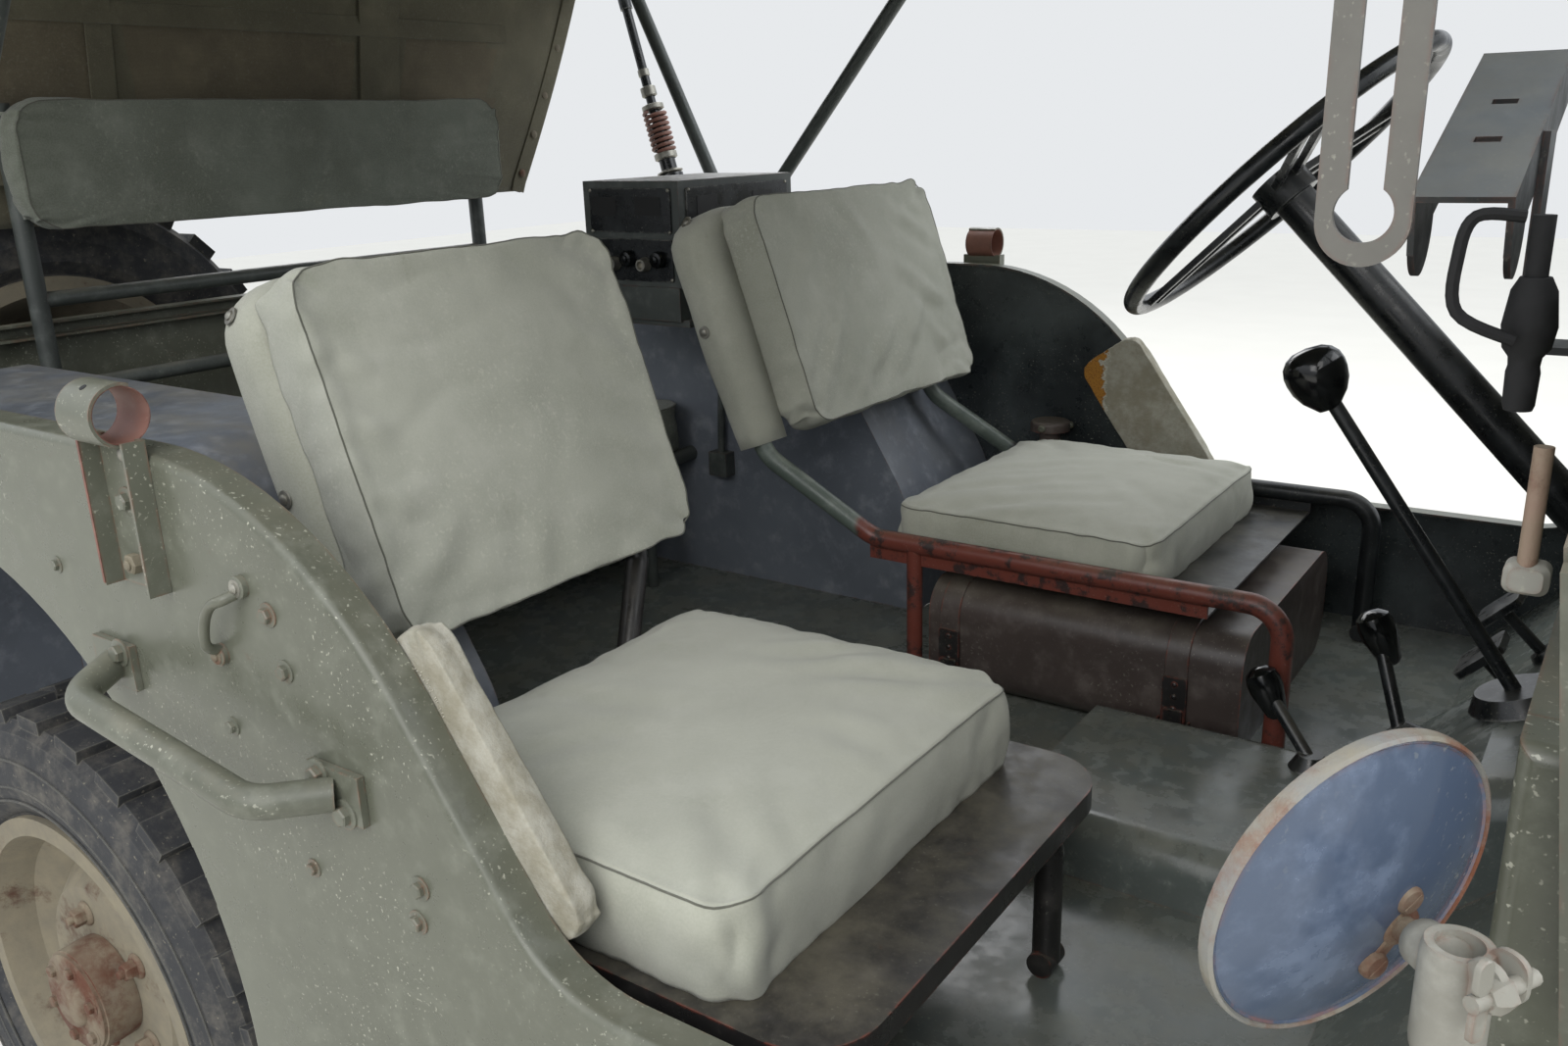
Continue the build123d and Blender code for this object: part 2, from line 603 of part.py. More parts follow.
# Leaf springs: X of axle, spring plane Y, leaves by length
LEAVES = ((920, 0), (720, 1), (500, 2))
LEAF_T = 8
SPRING_SAG = 14.7
with BuildPart() as leaf_springs:
    for x in (FRONT_AXLE_X, REAR_AXLE_X):
        seat_z = HUB_Z + AXLE_TUBE_R + 3 * LEAF_T
        for y in (-RAIL_Y, RAIL_Y):
            for length, row in LEAVES:
                mid_z = seat_z - (row + 0.5) * LEAF_T
                rise = SPRING_SAG * (length / LEAVES[0][0]) ** 2
                with BuildSketch(Plane.XZ.offset(-y - 22)):
                    with BuildLine():
                        upper = ThreePointArc(
                            (x - length / 2, mid_z + LEAF_T / 2 + rise),
                            (x, mid_z + LEAF_T / 2),
                            (x + length / 2, mid_z + LEAF_T / 2 + rise),
                        )
                        Line(upper @ 1, (x + length / 2, mid_z - LEAF_T / 2 + rise))
                        ThreePointArc(
                            (x + length / 2, mid_z - LEAF_T / 2 + rise),
                            (x, mid_z - LEAF_T / 2),
                            (x - length / 2, mid_z - LEAF_T / 2 + rise),
                        )
                        Line((x - length / 2, mid_z - LEAF_T / 2 + rise), upper @ 0)
                    make_face()
                extrude(amount=44)
leaf_springs.part.label = "leaf_springs"
export_step(leaf_springs.part, "parts/leaf_springs.step")

# Steering knuckles: ball yoke, backing plate and arm to the tie rod
ARM_X = -150
ARM_IN = 20
TIE_Z = HUB_Z - 44
for side_name, side in (("left", 1), ("right", -1)):
    with BuildPart() as knuckle:
        with Locations((FRONT_AXLE_X, side * KING_Y, HUB_Z)):
            Sphere(KING_BALL_R)
            Cylinder(KING_PIN_R, KING_PIN_H)
        with Locations(Location((FRONT_AXLE_X, side * (PLATE_Y - PLATE_T / 2), HUB_Z), (90, 0, 0))):
            Cylinder(DRUM_R - 6, PLATE_T)
        with BuildSketch(Plane.XY.offset(TIE_Z - 9)):
            with BuildLine():
                Polyline(
                    (FRONT_AXLE_X - 20, side * (KING_Y - 36)),
                    (FRONT_AXLE_X - 20, side * (KING_Y + 10)),
                    (FRONT_AXLE_X + ARM_X + 16, side * (KING_Y - ARM_IN)),
                    (FRONT_AXLE_X + ARM_X - 16, side * (KING_Y - ARM_IN)),
                    (FRONT_AXLE_X - 20, side * (KING_Y - 36)),
                )
            make_face()
            with Locations((FRONT_AXLE_X + ARM_X, side * (KING_Y - ARM_IN))):
                Circle(18)
        extrude(amount=18)
    knuckle.part.label = f"knuckle_{side_name}"
    export_step(knuckle.part, f"parts/knuckle_{side_name}.step")

with BuildPart() as tie_rod:
    with Locations(Location((FRONT_AXLE_X + ARM_X, 0, TIE_Z - 22), (90, 0, 0))):
        Cylinder(10, 2 * (KING_Y - ARM_IN) + 20)
    for side in (-1, 1):
        with Locations((FRONT_AXLE_X + ARM_X, side * (KING_Y - ARM_IN), TIE_Z - 15.3)):
            Cylinder(14, 12)
tie_rod.part.label = "tie_rod"
export_step(tie_rod.part, "parts/tie_rod.step")

# Tyre and rim, made once at the origin with the axle along Y
BEAD_Y = RIM_W / 2 - RUN_GAP
# Half of the tyre's outline, bead to tread: distance from the middle, radius
TYRE_EDGE = (
    (BEAD_Y, RIM_R + 2),
    (TYRE_W / 2 - 6, RIM_R + 20),
    (TYRE_W / 2, TYRE_R - 80),
    (TYRE_W / 2 - 2, TYRE_R - 46),
    (TYRE_W / 2 - 8, SHOULDER_R),
    (TYRE_W / 2 - 20, TYRE_R - LUG_DEPTH),
)
LUG_LEN = 58
LUG_ROOT_R = TYRE_R - 16
LUG_TOP_R = (TYRE_R ** 2 - (LUG_W / 2) ** 2) ** 0.5
with BuildPart() as tyre_form:
    with BuildSketch(Plane.YZ):
        with BuildLine():
            Line((-BEAD_Y, BEAD_R + RUN_GAP), (BEAD_Y, BEAD_R + RUN_GAP))
            Polyline(
                (BEAD_Y, BEAD_R + RUN_GAP),
                *TYRE_EDGE,
                *[(-y, r) for y, r in reversed(TYRE_EDGE)],
                (-BEAD_Y, BEAD_R + RUN_GAP),
            )
        make_face()
    revolve(axis=Axis.Y)
    for start, turn in ((-8 - LUG_LEN, 0), (8, 180 / LUGS)):
        with BuildSketch(Plane.XZ.offset(start)):
            with PolarLocations((LUG_TOP_R + LUG_ROOT_R) / 2, LUGS, start_angle=turn):
                Rectangle(LUG_TOP_R - LUG_ROOT_R, LUG_W)
            Circle(LUG_ROOT_R - 1, mode=Mode.SUBTRACT)
        extrude(amount=LUG_LEN)

with BuildPart() as rim_form:
    with BuildSketch(Plane.YZ):
        with BuildLine():
            Polyline(
                (RIM_W / 2, RIM_R),
                (RIM_W / 2 + RIM_SHEET, RIM_R),
                (RIM_W / 2 + RIM_SHEET, BEAD_R - RIM_SHEET),
                (30, BEAD_R - RIM_SHEET - 14),
                (8, DISC_R),
                (HUB_REACH * 0.5, DISC_R - 30),
                (HUB_REACH * 0.5, HUB_R),
                (HUB_REACH, HUB_R),
                (HUB_REACH, 0),
                (HUB_REACH * 0.5 - RIM_SHEET, 0),
                (HUB_REACH * 0.5 - RIM_SHEET, DISC_R - 32),
                (0, DISC_R),
                (-RIM_W / 2 - RIM_SHEET, BEAD_R - RIM_SHEET),
                (-RIM_W / 2 - RIM_SHEET, RIM_R),
                (-RIM_W / 2, RIM_R),
                (-RIM_W / 2, BEAD_R),
                (RIM_W / 2, BEAD_R),
                (RIM_W / 2, RIM_R),
            )
        make_face()
    revolve(axis=Axis.Y)

with BuildPart() as drum_form:
    with BuildSketch(Plane.YZ):
        with Locations((0.5, DRUM_R / 2)):
            Rectangle(DRUM_W, DRUM_R)
    revolve(axis=Axis.Y)

for name, side, x in wheel_places():
    place = Pos(x, side * TRACK / 2, HUB_Z) * (Rot(0, 0, 0) if side > 0 else Rot(0, 0, 180))
    for piece, form in (("tyre", tyre_form), ("rim", rim_form)):
        copy_part = place * form.part
        if piece == "rim":
            copy_part = copy_part + place * drum_form.part
        copy_part.label = f"{piece}_{name}"
        export_step(copy_part, f"parts/{piece}_{name}.step")

# Spare wheel on the tail panel's right half
SPARE_X = TAIL_PANEL_X - 22 - TYRE_W / 2
for piece, form in (("tyre", tyre_form), ("rim", rim_form)):
    spare = Pos(SPARE_X, SPARE_Y, SPARE_Z) * Rot(0, 0, 90) * form.part
    spare.label = f"spare_{piece}"
    export_step(spare, f"parts/spare_{piece}.step")

# Fuel can in its bracket on the tail panel's left half
with BuildPart() as fuel_can:
    with Locations((TAIL_PANEL_X - 95, CAN_Y, CAN_Z)):
        Box(150, 340, CAN_H)
    fillet(fuel_can.edges(), 24)
fuel_can.part.label = "fuel_can"
export_step(fuel_can.part, "parts/fuel_can.step")

# Windscreen frame, leaning back, carried by legs outside the cowl
SCREEN_LEAN = 7.3
SCREEN_Y = 690
SCREEN_LOW_Z = TOP_Z + 8
SCREEN_X = 425
SCREEN_H = 640
SCREEN_T = 26
POST_W = 42
GLASS_LOW = 140
screen_plane = Plane(
    origin=(SCREEN_X, 0, SCREEN_LOW_Z),
    x_dir=(0, 1, 0),
    z_dir=(cos(radians(SCREEN_LEAN)), 0, sin(radians(SCREEN_LEAN))),
)
OPEN_H = SCREEN_H - GLASS_LOW - POST_W
ARM_X_MID = 296
ARM_LOW_Z = TOP_Z + 157
ARM_LEN = 470
# Rising channel bracket behind the right of the frame, its foot on the lower panel
CHANNEL_AT = (321, -552, TOP_Z + 181)
CHANNEL_RISE = 20
CHANNEL_W = 44
CHANNEL_D = 30
CHANNEL_LEN = 200
LOBE_R = 24
CHANNEL_FOOT_X = 344.5
CHANNEL_FOOT_Y = -455
CHANNEL_FOOT_Z = TOP_Z + 98
channel_plane = Plane(
    origin=CHANNEL_AT,
    x_dir=(1, 0, 0),
    z_dir=(0, cos(radians(CHANNEL_RISE)), sin(radians(CHANNEL_RISE))),
)
with BuildPart() as windscreen_frame:
    with BuildSketch(screen_plane):
        with Locations((0, SCREEN_H / 2)):
            RectangleRounded(2 * SCREEN_Y, SCREEN_H, 40)
        with Locations((0, GLASS_LOW + OPEN_H / 2)):
            RectangleRounded(2 * SCREEN_Y - 2 * POST_W, OPEN_H, 30, mode=Mode.SUBTRACT)
    extrude(amount=-SCREEN_T)
    for side in (-1, 1):
        with BuildSketch(screen_plane):
            with Locations((side * (BODY_Y + 14), -20)):
                Rectangle(22, 180)
            with Locations((side * (SCREEN_Y + 12), 60)):
                Rectangle(90, 30)
        extrude(amount=-SCREEN_T)
    for side in (-1, 1):
        with BuildSketch(Plane.XZ.offset(-side * 635)):
            with Locations((ARM_X_MID, ARM_LOW_Z + ARM_LEN / 2)):
                SlotOverall(ARM_LEN, 38, rotation=90)
                SlotOverall(ARM_LEN - 50, 14, rotation=90, mode=Mode.SUBTRACT)
            with Locations((ARM_X_MID, ARM_LOW_Z + 22)):
                Circle(12, mode=Mode.SUBTRACT)
        extrude(amount=3)
        with Locations((ARM_X_MID + 24, side * 635 - 1.5, ARM_LOW_Z + ARM_LEN - 16)):
            Box(58, 5, 24)
    with BuildSketch(channel_plane):
        with Locations((0, CHANNEL_D / 2)):
            Rectangle(CHANNEL_W, CHANNEL_D)
        with Locations((0, CHANNEL_D / 2 + SKIN)):
            Rectangle(CHANNEL_W - 2 * SKIN, CHANNEL_D, mode=Mode.SUBTRACT)
    extrude(amount=CHANNEL_LEN)
    for x in (-CHANNEL_W / 2, CHANNEL_W / 2 - SKIN):
        with BuildSketch(Plane(
            origin=channel_plane.from_local_coords(Vector(x, LOBE_R + 2, LOBE_R + 1)),
            x_dir=channel_plane.z_dir,
            z_dir=(1, 0, 0),
        )):
            Circle(LOBE_R)
        extrude(amount=SKIN)
    for run in (70, 122):
        with BuildSketch(Plane(
            origin=channel_plane.from_local_coords(Vector(0, -1, run)),
            x_dir=(1, 0, 0),
            z_dir=channel_plane.y_dir,
        )):
            Rectangle(12, 7)
        extrude(amount=2 * SKIN, mode=Mode.SUBTRACT)
    with Locations((CHANNEL_FOOT_X, CHANNEL_FOOT_Y, CHANNEL_FOOT_Z + 55)):
        Box(4, 30, 110)
    with Locations((CHANNEL_FOOT_X + 22, CHANNEL_FOOT_Y, CHANNEL_FOOT_Z + 2)):
        Box(48, 30, 4)
windscreen_frame.part.label = "windscreen_frame"
export_step(windscreen_frame.part, "parts/windscreen_frame.step")

# Opening inner frame with two panes
INNER_GAP = 6
INNER_HINGE_R = 4
INNER_HINGE_H = SCREEN_H - 24
inner_hinge = screen_plane.from_local_coords(Vector(0, INNER_HINGE_H, RUN_GAP + INNER_HINGE_R))
INNER_W = 24
with BuildPart() as windscreen_inner:
    with BuildSketch(screen_plane.offset(-5)):
        with Locations((0, GLASS_LOW + OPEN_H / 2)):
            RectangleRounded(2 * SCREEN_Y - 2 * POST_W - 2 * INNER_GAP, OPEN_H - 2 * INNER_GAP, 26)
            Rectangle(
                2 * SCREEN_Y - 2 * POST_W - 2 * INNER_GAP - 2 * INNER_W,
                OPEN_H - 2 * INNER_GAP - 2 * INNER_W,
                mode=Mode.SUBTRACT,
            )
            Rectangle(26, OPEN_H - 2 * INNER_GAP)
    extrude(amount=-16)
    with BuildSketch(screen_plane.offset(RUN_GAP)):
        with Locations((0, (INNER_HINGE_H + GLASS_LOW + OPEN_H - 30) / 2)):
            Rectangle(SCREEN_Y, INNER_HINGE_H - GLASS_LOW - OPEN_H + 30)
    extrude(amount=3)
    with BuildSketch(screen_plane.offset(-6)):
        with Locations((0, GLASS_LOW + OPEN_H - 18)):
            Rectangle(SCREEN_Y, 20)
    extrude(amount=8)
    with Locations(Location(inner_hinge, (90, 0, 0))):
        Cylinder(INNER_HINGE_R, SCREEN_Y)
windscreen_inner.part.label = "windscreen_inner"
export_step(windscreen_inner.part, "parts/windscreen_inner.step")

with BuildPart() as windscreen_glass:
    with BuildSketch(screen_plane.offset(-10)):
        pane_w = SCREEN_Y - POST_W - INNER_GAP - INNER_W - 13
        with Locations(*[(s * (13 + pane_w / 2), GLASS_LOW + OPEN_H / 2) for s in (-1, 1)]):
            Rectangle(pane_w - 2 * RUN_GAP, OPEN_H - 2 * INNER_GAP - 2 * INNER_W - 2 * RUN_GAP)
    extrude(amount=-6)
windscreen_glass.part.label = "windscreen_glass"
export_step(windscreen_glass.part, "parts/windscreen_glass.step")

# Steering column and wheel
COLUMN_Y = 355
WHEEL_X = 13
WHEEL_Z = TOP_Z + 144
WHEEL_RIM_R = 209
WHEEL_TUBE_R = 11
COLUMN_SLOPE = 45.7
column_dir = Vector(-cos(radians(COLUMN_SLOPE)), 0, sin(radians(COLUMN_SLOPE)))
wheel_plane = Plane(origin=(WHEEL_X, COLUMN_Y, WHEEL_Z), x_dir=(0, 1, 0), z_dir=column_dir)
COLUMN_LEN = 596
with BuildPart() as steering_column:
    with BuildSketch(wheel_plane.offset(-26)):
        Circle(23)
    extrude(amount=-COLUMN_LEN)
steering_column.part.label = "steering_column"
export_step(steering_column.part, "parts/steering_column.step")

with BuildPart() as steering_wheel:
    with BuildSketch(Plane(origin=wheel_plane.origin, x_dir=wheel_plane.x_dir, z_dir=wheel_plane.y_dir)):
        with Locations((WHEEL_RIM_R, 0)):
            Circle(WHEEL_TUBE_R)
    revolve(axis=Axis(wheel_plane.origin, wheel_plane.z_dir))
    with BuildSketch(wheel_plane.offset(-26 + RUN_GAP)):
        Circle(32)
    extrude(amount=34)
    for angle in (90, 210, 330):
        with BuildSketch(wheel_plane.offset(-8)):
            with PolarLocations(WHEEL_RIM_R / 2, 1, start_angle=angle):
                with Locations((0, -14), (0, 14)):
                    Rectangle(WHEEL_RIM_R - 10, 8)
        extrude(amount=8)
steering_wheel.part.label = "steering_wheel"
export_step(steering_wheel.part, "parts/steering_wheel.step")

# Floor levers: knob, X and Y of the foot on the tunnel, knob radius, boot radius
LEVER_R = 7
BOOT_T = 16
LEVERS = (
    ((141, 40, FLOOR_Z + 489), 345, 40, 27, 44),
    ((100, 125, FLOOR_Z + 127), 160, 90, 18, 22),
    ((206, 125, FLOOR_Z + 214), 248, 90, 18, 22),
)
# Pedals: X and Y of the foot on the toe board, reach, pad width and height
PEDALS = ((345, 445, 72, 64, 58), (345, 275, 72, 64, 58), (335, 195, 40, 46, 92))
TOE_RISE = (TOE_Z - FLOOR_Z) / (FIREWALL_X - SKIN - RUN_GAP - TOE_X)
with BuildPart() as levers:
    for knob, foot_x, foot_y, r, boot_r in LEVERS:
        seat = tunnel_seat(foot_x, foot_y)
        foot = seat.offset(BOOT_T / 2).origin
        run = Vector(*knob) - foot
        neck = run.length - (r ** 2 - LEVER_R ** 2) ** 0.5
        across = run.cross(Vector(1, 0, 0))
        with BuildSketch(Plane(origin=foot, x_dir=across, z_dir=across.cross(run))):
            with BuildLine():
                Polyline((0, 0), (LEVER_R, 0), (LEVER_R, neck))
                ThreePointArc((LEVER_R, neck), (r, run.length), (0, run.length + r))
                Line((0, run.length + r), (0, 0))
            make_face()
        revolve(axis=Axis(foot, run))
        with BuildSketch(seat.offset(RUN_GAP)):
            Circle(boot_r)
        extrude(amount=BOOT_T, taper=30)
    for x, y, reach, pad_w, pad_h in PEDALS:
        foot = (x, y, FLOOR_Z + (x - TOE_X) * TOE_RISE)
        pedal_seat = Plane(origin=foot, x_dir=(0, 1, 0), z_dir=(-TOE_RISE, 0, 1))
        with BuildSketch(pedal_seat.offset(RUN_GAP)):
            Circle(18)
        extrude(amount=10, taper=20)
        with BuildSketch(pedal_seat.offset(RUN_GAP + 2)):
            Circle(7)
        extrude(amount=reach)
        with BuildSketch(pedal_seat.offset(reach)):
            RectangleRounded(pad_w, pad_h, 9)
        extrude(amount=9)
levers.part.label = "levers"
export_step(levers.part, "parts/levers.step")

# Seats. Columns: name, pan box in X and Y, pan Z, cushion box, cushion top Z,
# lower edge of the back pad's front face, pad Y range, pad height,
# each tube's Y at the back and at the legs,
# side tube's rear X, side tube Z, front leg X
BACK_LEAN = 19.3
BACK_T = 75
FOOT_R = 12
PAN_Z = FLOOR_Z + 164
DRIVER_PAN_Z = FLOOR_Z + 180
SIDE_TUBE_Z = FLOOR_Z + 205
SEATS = (
    ("passenger", (-440, 48, -675, -205), PAN_Z, (-414, -30, -672, -224), PAN_Z + 78,
     (-422, PAN_Z + 139), (-590, -180), 368, ((-215, -300), (-565, -640)), -462,
     PAN_Z - SKIN - SEAT_TUBE_R + 1, 30),
    ("driver", (-430, 20, 166, 646), DRIVER_PAN_Z, (-414, -45, 181, 625), DRIVER_PAN_Z + 67,
     (-477, DRIVER_PAN_Z + 164), (133, 610), 342, ((112, 166), (575, 646)), -425, SIDE_TUBE_Z, 104),
)
for (name, pan, pan_z, cushion_box, cushion_z,
     low, back_y, back_h, tube_y, rear_x, tube_z, leg_x) in SEATS:
    lean = radians(BACK_LEAN)
    pad_plane = Plane(origin=(low[0], 0, low[1]), x_dir=(0, 1, 0), z_dir=(cos(lean), 0, sin(lean)))
    up = pad_plane.y_dir
    behind = pad_plane.offset(-BACK_T - SEAT_TUBE_R - RUN_GAP).origin
    top = behind + up * (back_h - 60)
    mid_y = (tube_y[0][0] + tube_y[1][0]) / 2
    span_y = abs(tube_y[1][0] - tube_y[0][0])

    with BuildPart() as cushion:
        with BuildSketch(Plane.XY.offset(pan_z + RUN_GAP)):
            with Locations(((cushion_box[0] + cushion_box[1]) / 2, (cushion_box[2] + cushion_box[3]) / 2)):
                RectangleRounded(cushion_box[1] - cushion_box[0], cushion_box[3] - cushion_box[2], 34)
        extrude(amount=cushion_z - pan_z)
        fillet(cushion.faces().sort_by(Axis.Z)[-1].edges(), 20)
    cushion.part.label = f"{name}_cushion"
    export_step(cushion.part, f"parts/{name}_cushion.step")

    with BuildPart() as back_pad:
        with BuildSketch(pad_plane):
            with Locations(((back_y[0] + back_y[1]) / 2, back_h / 2)):
                RectangleRounded(back_y[1] - back_y[0], back_h, 40)
        extrude(amount=-BACK_T)
        fillet(back_pad.faces().sort_by(Axis.X)[-1].edges(), 22)
    back_pad.part.label = f"{name}_back"
    export_step(back_pad.part, f"parts/{name}_back.step")

    with BuildPart() as seat_frame:
        with BuildSketch(Plane.XY.offset(pan_z)) as pan_outline:
            with Locations(((pan[0] + pan[1]) / 2, (pan[2] + pan[3]) / 2)):
                RectangleRounded(pan[1] - pan[0], pan[3] - pan[2], 58 if name == "passenger" else 6)
        extrude(amount=-(PAN_EDGE if name == "passenger" else SKIN))
        if name == "passenger":
            with BuildSketch(Plane.XY.offset(pan_z - SKIN)):
                add(pan_outline.sketch)
                offset(amount=-SKIN, mode=Mode.REPLACE)
            extrude(amount=-PAN_EDGE, mode=Mode.SUBTRACT)
        else:
            for back, y in tube_y:
                with Locations(((pan[0] + pan[1]) / 2, y, (pan_z + tube_z) / 2 - 2)):
                    Box(pan[1] - pan[0], 4, tube_z - pan_z + 2)
        for back, y in tube_y:
            with BuildLine():
                path = FilletPolyline(
                    (top.X, back, top.Z),
                    (behind.X, back, behind.Z),
                    (rear_x, y, tube_z),
                    (leg_x, y, tube_z),
                    (leg_x, y, FLOOR_Z + FOOT_R + RUN_GAP),
                    radius=(60, 40, 40) if name == "driver" else (20, 40, 30),
                )
            with BuildSketch(Plane(origin=path @ 0, z_dir=path % 0)):
                Circle(SEAT_TUBE_R)
            sweep(path=path)
            with Locations(Location((leg_x, y, FLOOR_Z + FOOT_R + RUN_GAP), (90, 0, 0))):
                Cylinder(FOOT_R, 30)
            with Locations((rear_x + 62, y, (tube_z + FLOOR_Z) / 2)):
                Cylinder(SEAT_TUBE_R - 2, tube_z - FLOOR_Z - 2 * RUN_GAP)
        for height in (60, back_h - 110):
            bar = behind + up * height
            with Locations(Location((bar.X, mid_y, bar.Z), (90, 0, 0))):
                Cylinder(SEAT_TUBE_R - 2, span_y)
    seat_frame.part.label = f"{name}_frame"
    export_step(seat_frame.part, f"parts/{name}_frame.step")

# Fuel tank under the driver's seat
TANK = (-350, 60, 182, 600)
TANK_Z = (FLOOR_Z + RUN_GAP, FLOOR_Z + 150)
NECK_X = -400
NECK_Y = 686
NECK_R = 17
NECK_LOW_Z = FLOOR_Z + 96
CAP_R = 32
CAP_Z = FLOOR_Z + 248
with BuildPart() as fuel_tank:
    with Locations(((TANK[0] + TANK[1]) / 2, (TANK[2] + TANK[3]) / 2, (TANK_Z[0] + TANK_Z[1]) / 2)):
        Box(TANK[1] - TANK[0], TANK[3] - TANK[2], TANK_Z[1] - TANK_Z[0])
    fillet(fuel_tank.edges().filter_by(Axis.X), 44)
    with BuildLine():
        path = FilletPolyline(
            (-300, TANK[3] - 25, NECK_LOW_Z),
            (-300, NECK_Y, NECK_LOW_Z + 12),
            (NECK_X, NECK_Y, NECK_LOW_Z + 40),
            (NECK_X, NECK_Y, CAP_Z),
            radius=24,
        )
    with BuildSketch(Plane(origin=path @ 0, z_dir=path % 0)):
        Circle(NECK_R)
    sweep(path=path)
    with Locations((NECK_X, NECK_Y, CAP_Z + 8)):
        Cylinder(CAP_R, 16)
    fillet(fuel_tank.faces().sort_by(Axis.Z)[-1].edges(), 5)
fuel_tank.part.label = "fuel_tank"
export_step(fuel_tank.part, "parts/fuel_tank.step")

# Rear bench: frame, cushion and folding back
BENCH_Y = HOUSE_Y - 12
BENCH_Z = FLOOR_Z + 205
BENCH_T = 80
with BuildPart() as rear_seat_frame:
    for x in (-1290, -940):
        with Locations(Location((x, 0, BENCH_Z), (90, 0, 0))):
            Cylinder(SEAT_TUBE_R, 2 * HOUSE_Y - 2 * RUN_GAP)
    for y in (-300, 300):
        with Locations(Location((-1115, y, BENCH_Z), (0, 90, 0))):
            Cylinder(SEAT_TUBE_R - 2, 350)
        with Locations((-940, y, (BENCH_Z + FLOOR_Z) / 2)):
            Cylinder(SEAT_TUBE_R - 3, BENCH_Z - FLOOR_Z - 2 * RUN_GAP)
rear_seat_frame.part.label = "rear_seat_frame"
export_step(rear_seat_frame.part, "parts/rear_seat_frame.step")

with BuildPart() as rear_cushion:
    with Locations((-1110, 0, BENCH_Z + SEAT_TUBE_R + RUN_GAP + BENCH_T / 2)):
        Box(380, 2 * BENCH_Y, BENCH_T)
    fillet(rear_cushion.faces().sort_by(Axis.Z)[-1].edges(), 25)
rear_cushion.part.label = "rear_cushion"
export_step(rear_cushion.part, "parts/rear_cushion.step")

REAR_PIVOT_X = -1385
REAR_PIVOT_Z = FLOOR_Z + 420
REAR_PAD_LOW_Z = REAR_PIVOT_Z + 205
REAR_PAD_H = 175
REAR_PAD_T = 52
with BuildPart() as rear_back_frame:
    for y in (-390, 390):
        with Locations((REAR_PIVOT_X, y, REAR_PIVOT_Z + 185)):
            Cylinder(SEAT_TUBE_R, 370)
    for height in (0, 120, 320):
        with Locations(Location((REAR_PIVOT_X, 0, REAR_PIVOT_Z + height), (90, 0, 0))):
            Cylinder(SEAT_TUBE_R - 2, 2 * HOUSE_Y - 2 * RUN_GAP if height == 0 else 780)
rear_back_frame.part.label = "rear_back_frame"
export_step(rear_back_frame.part, "parts/rear_back_frame.step")

with BuildPart() as rear_back:
    with Locations((REAR_PIVOT_X + SEAT_TUBE_R + REAR_PAD_T / 2 + RUN_GAP, 0, REAR_PAD_LOW_Z + REAR_PAD_H / 2)):
        Box(REAR_PAD_T, 2 * HOUSE_Y - 14, REAR_PAD_H)
    fillet(rear_back.faces().sort_by(Axis.X)[-1].edges(), 20)
rear_back.part.label = "rear_back"
export_step(rear_back.part, "parts/rear_back.step")

# Radio on its shelf, aerial on the left side
RADIO = (-850, 340)
SHELF_Z = HOUSE_Z + RUN_GAP
# Cable down the wheelhouse wall: X and Z of the points it passes
CABLE_Y = HOUSE_Y - RUN_GAP - 12
CABLE_R = 6
CABLE = ((-846, SHELF_Z - 20), (-853, HOUSE_Z - 70), (-860, HOUSE_Z - 143), (-866, HOUSE_Z - 262))
with BuildPart() as radio:
    with Locations((RADIO[0], 450, SHELF_Z + 5)):
        Box(200, 500, 10)
    with Locations((RADIO[0], RADIO[1], SHELF_Z + 32)):
        Box(176, 290, 48)
    with Locations((RADIO[0], RADIO[1], SHELF_Z + 129.7)):
        Box(180, 280, 150)
    with Locations((CABLE[0][0], CABLE_Y, SHELF_Z - 14)):
        Box(30, 24, 30)
    with Locations((CABLE[-1][0], CABLE_Y, CABLE[-1][1])):
        Box(36, 24, 40)
    with BuildLine():
        path = Spline(*[(x, CABLE_Y, z) for x, z in CABLE])
    with BuildSketch(Plane(origin=path @ 0, z_dir=path % 0)):
        Circle(CABLE_R)
    sweep(path=path)
radio.part.label = "radio"
export_step(radio.part, "parts/radio.step")

# Aerial from its foot up: start, end and radius of each length
AERIAL_RINGS = (
    (-20, 60, 26), (60, 110, 18), (110, 160, 24), (160, 200, 16),
    (200, 260, 13), (260, 480, 9), (480, 500, 12), (500, 1180, 4),
)
AERIAL_X = -1200
AERIAL_Y = BODY_Y + 36
AERIAL_LEAN = 16
AERIAL_FOOT_Z = TOP_Z - 10
with BuildPart() as aerial:
    with Locations((AERIAL_X, BODY_Y + 18 + RUN_GAP, AERIAL_FOOT_Z - 40)):
        Box(60, 36, 110)
    mast = Plane(
        origin=(AERIAL_X, AERIAL_Y, AERIAL_FOOT_Z),
        x_dir=(0, 1, 0),
        z_dir=(-sin(radians(AERIAL_LEAN)), 0, cos(radians(AERIAL_LEAN))),
    )
    for low, high, r in AERIAL_RINGS:
        with BuildSketch(mast.offset(low)):
            Circle(r)
        extrude(amount=high - low)
aerial.part.label = "aerial"
export_step(aerial.part, "parts/aerial.step")

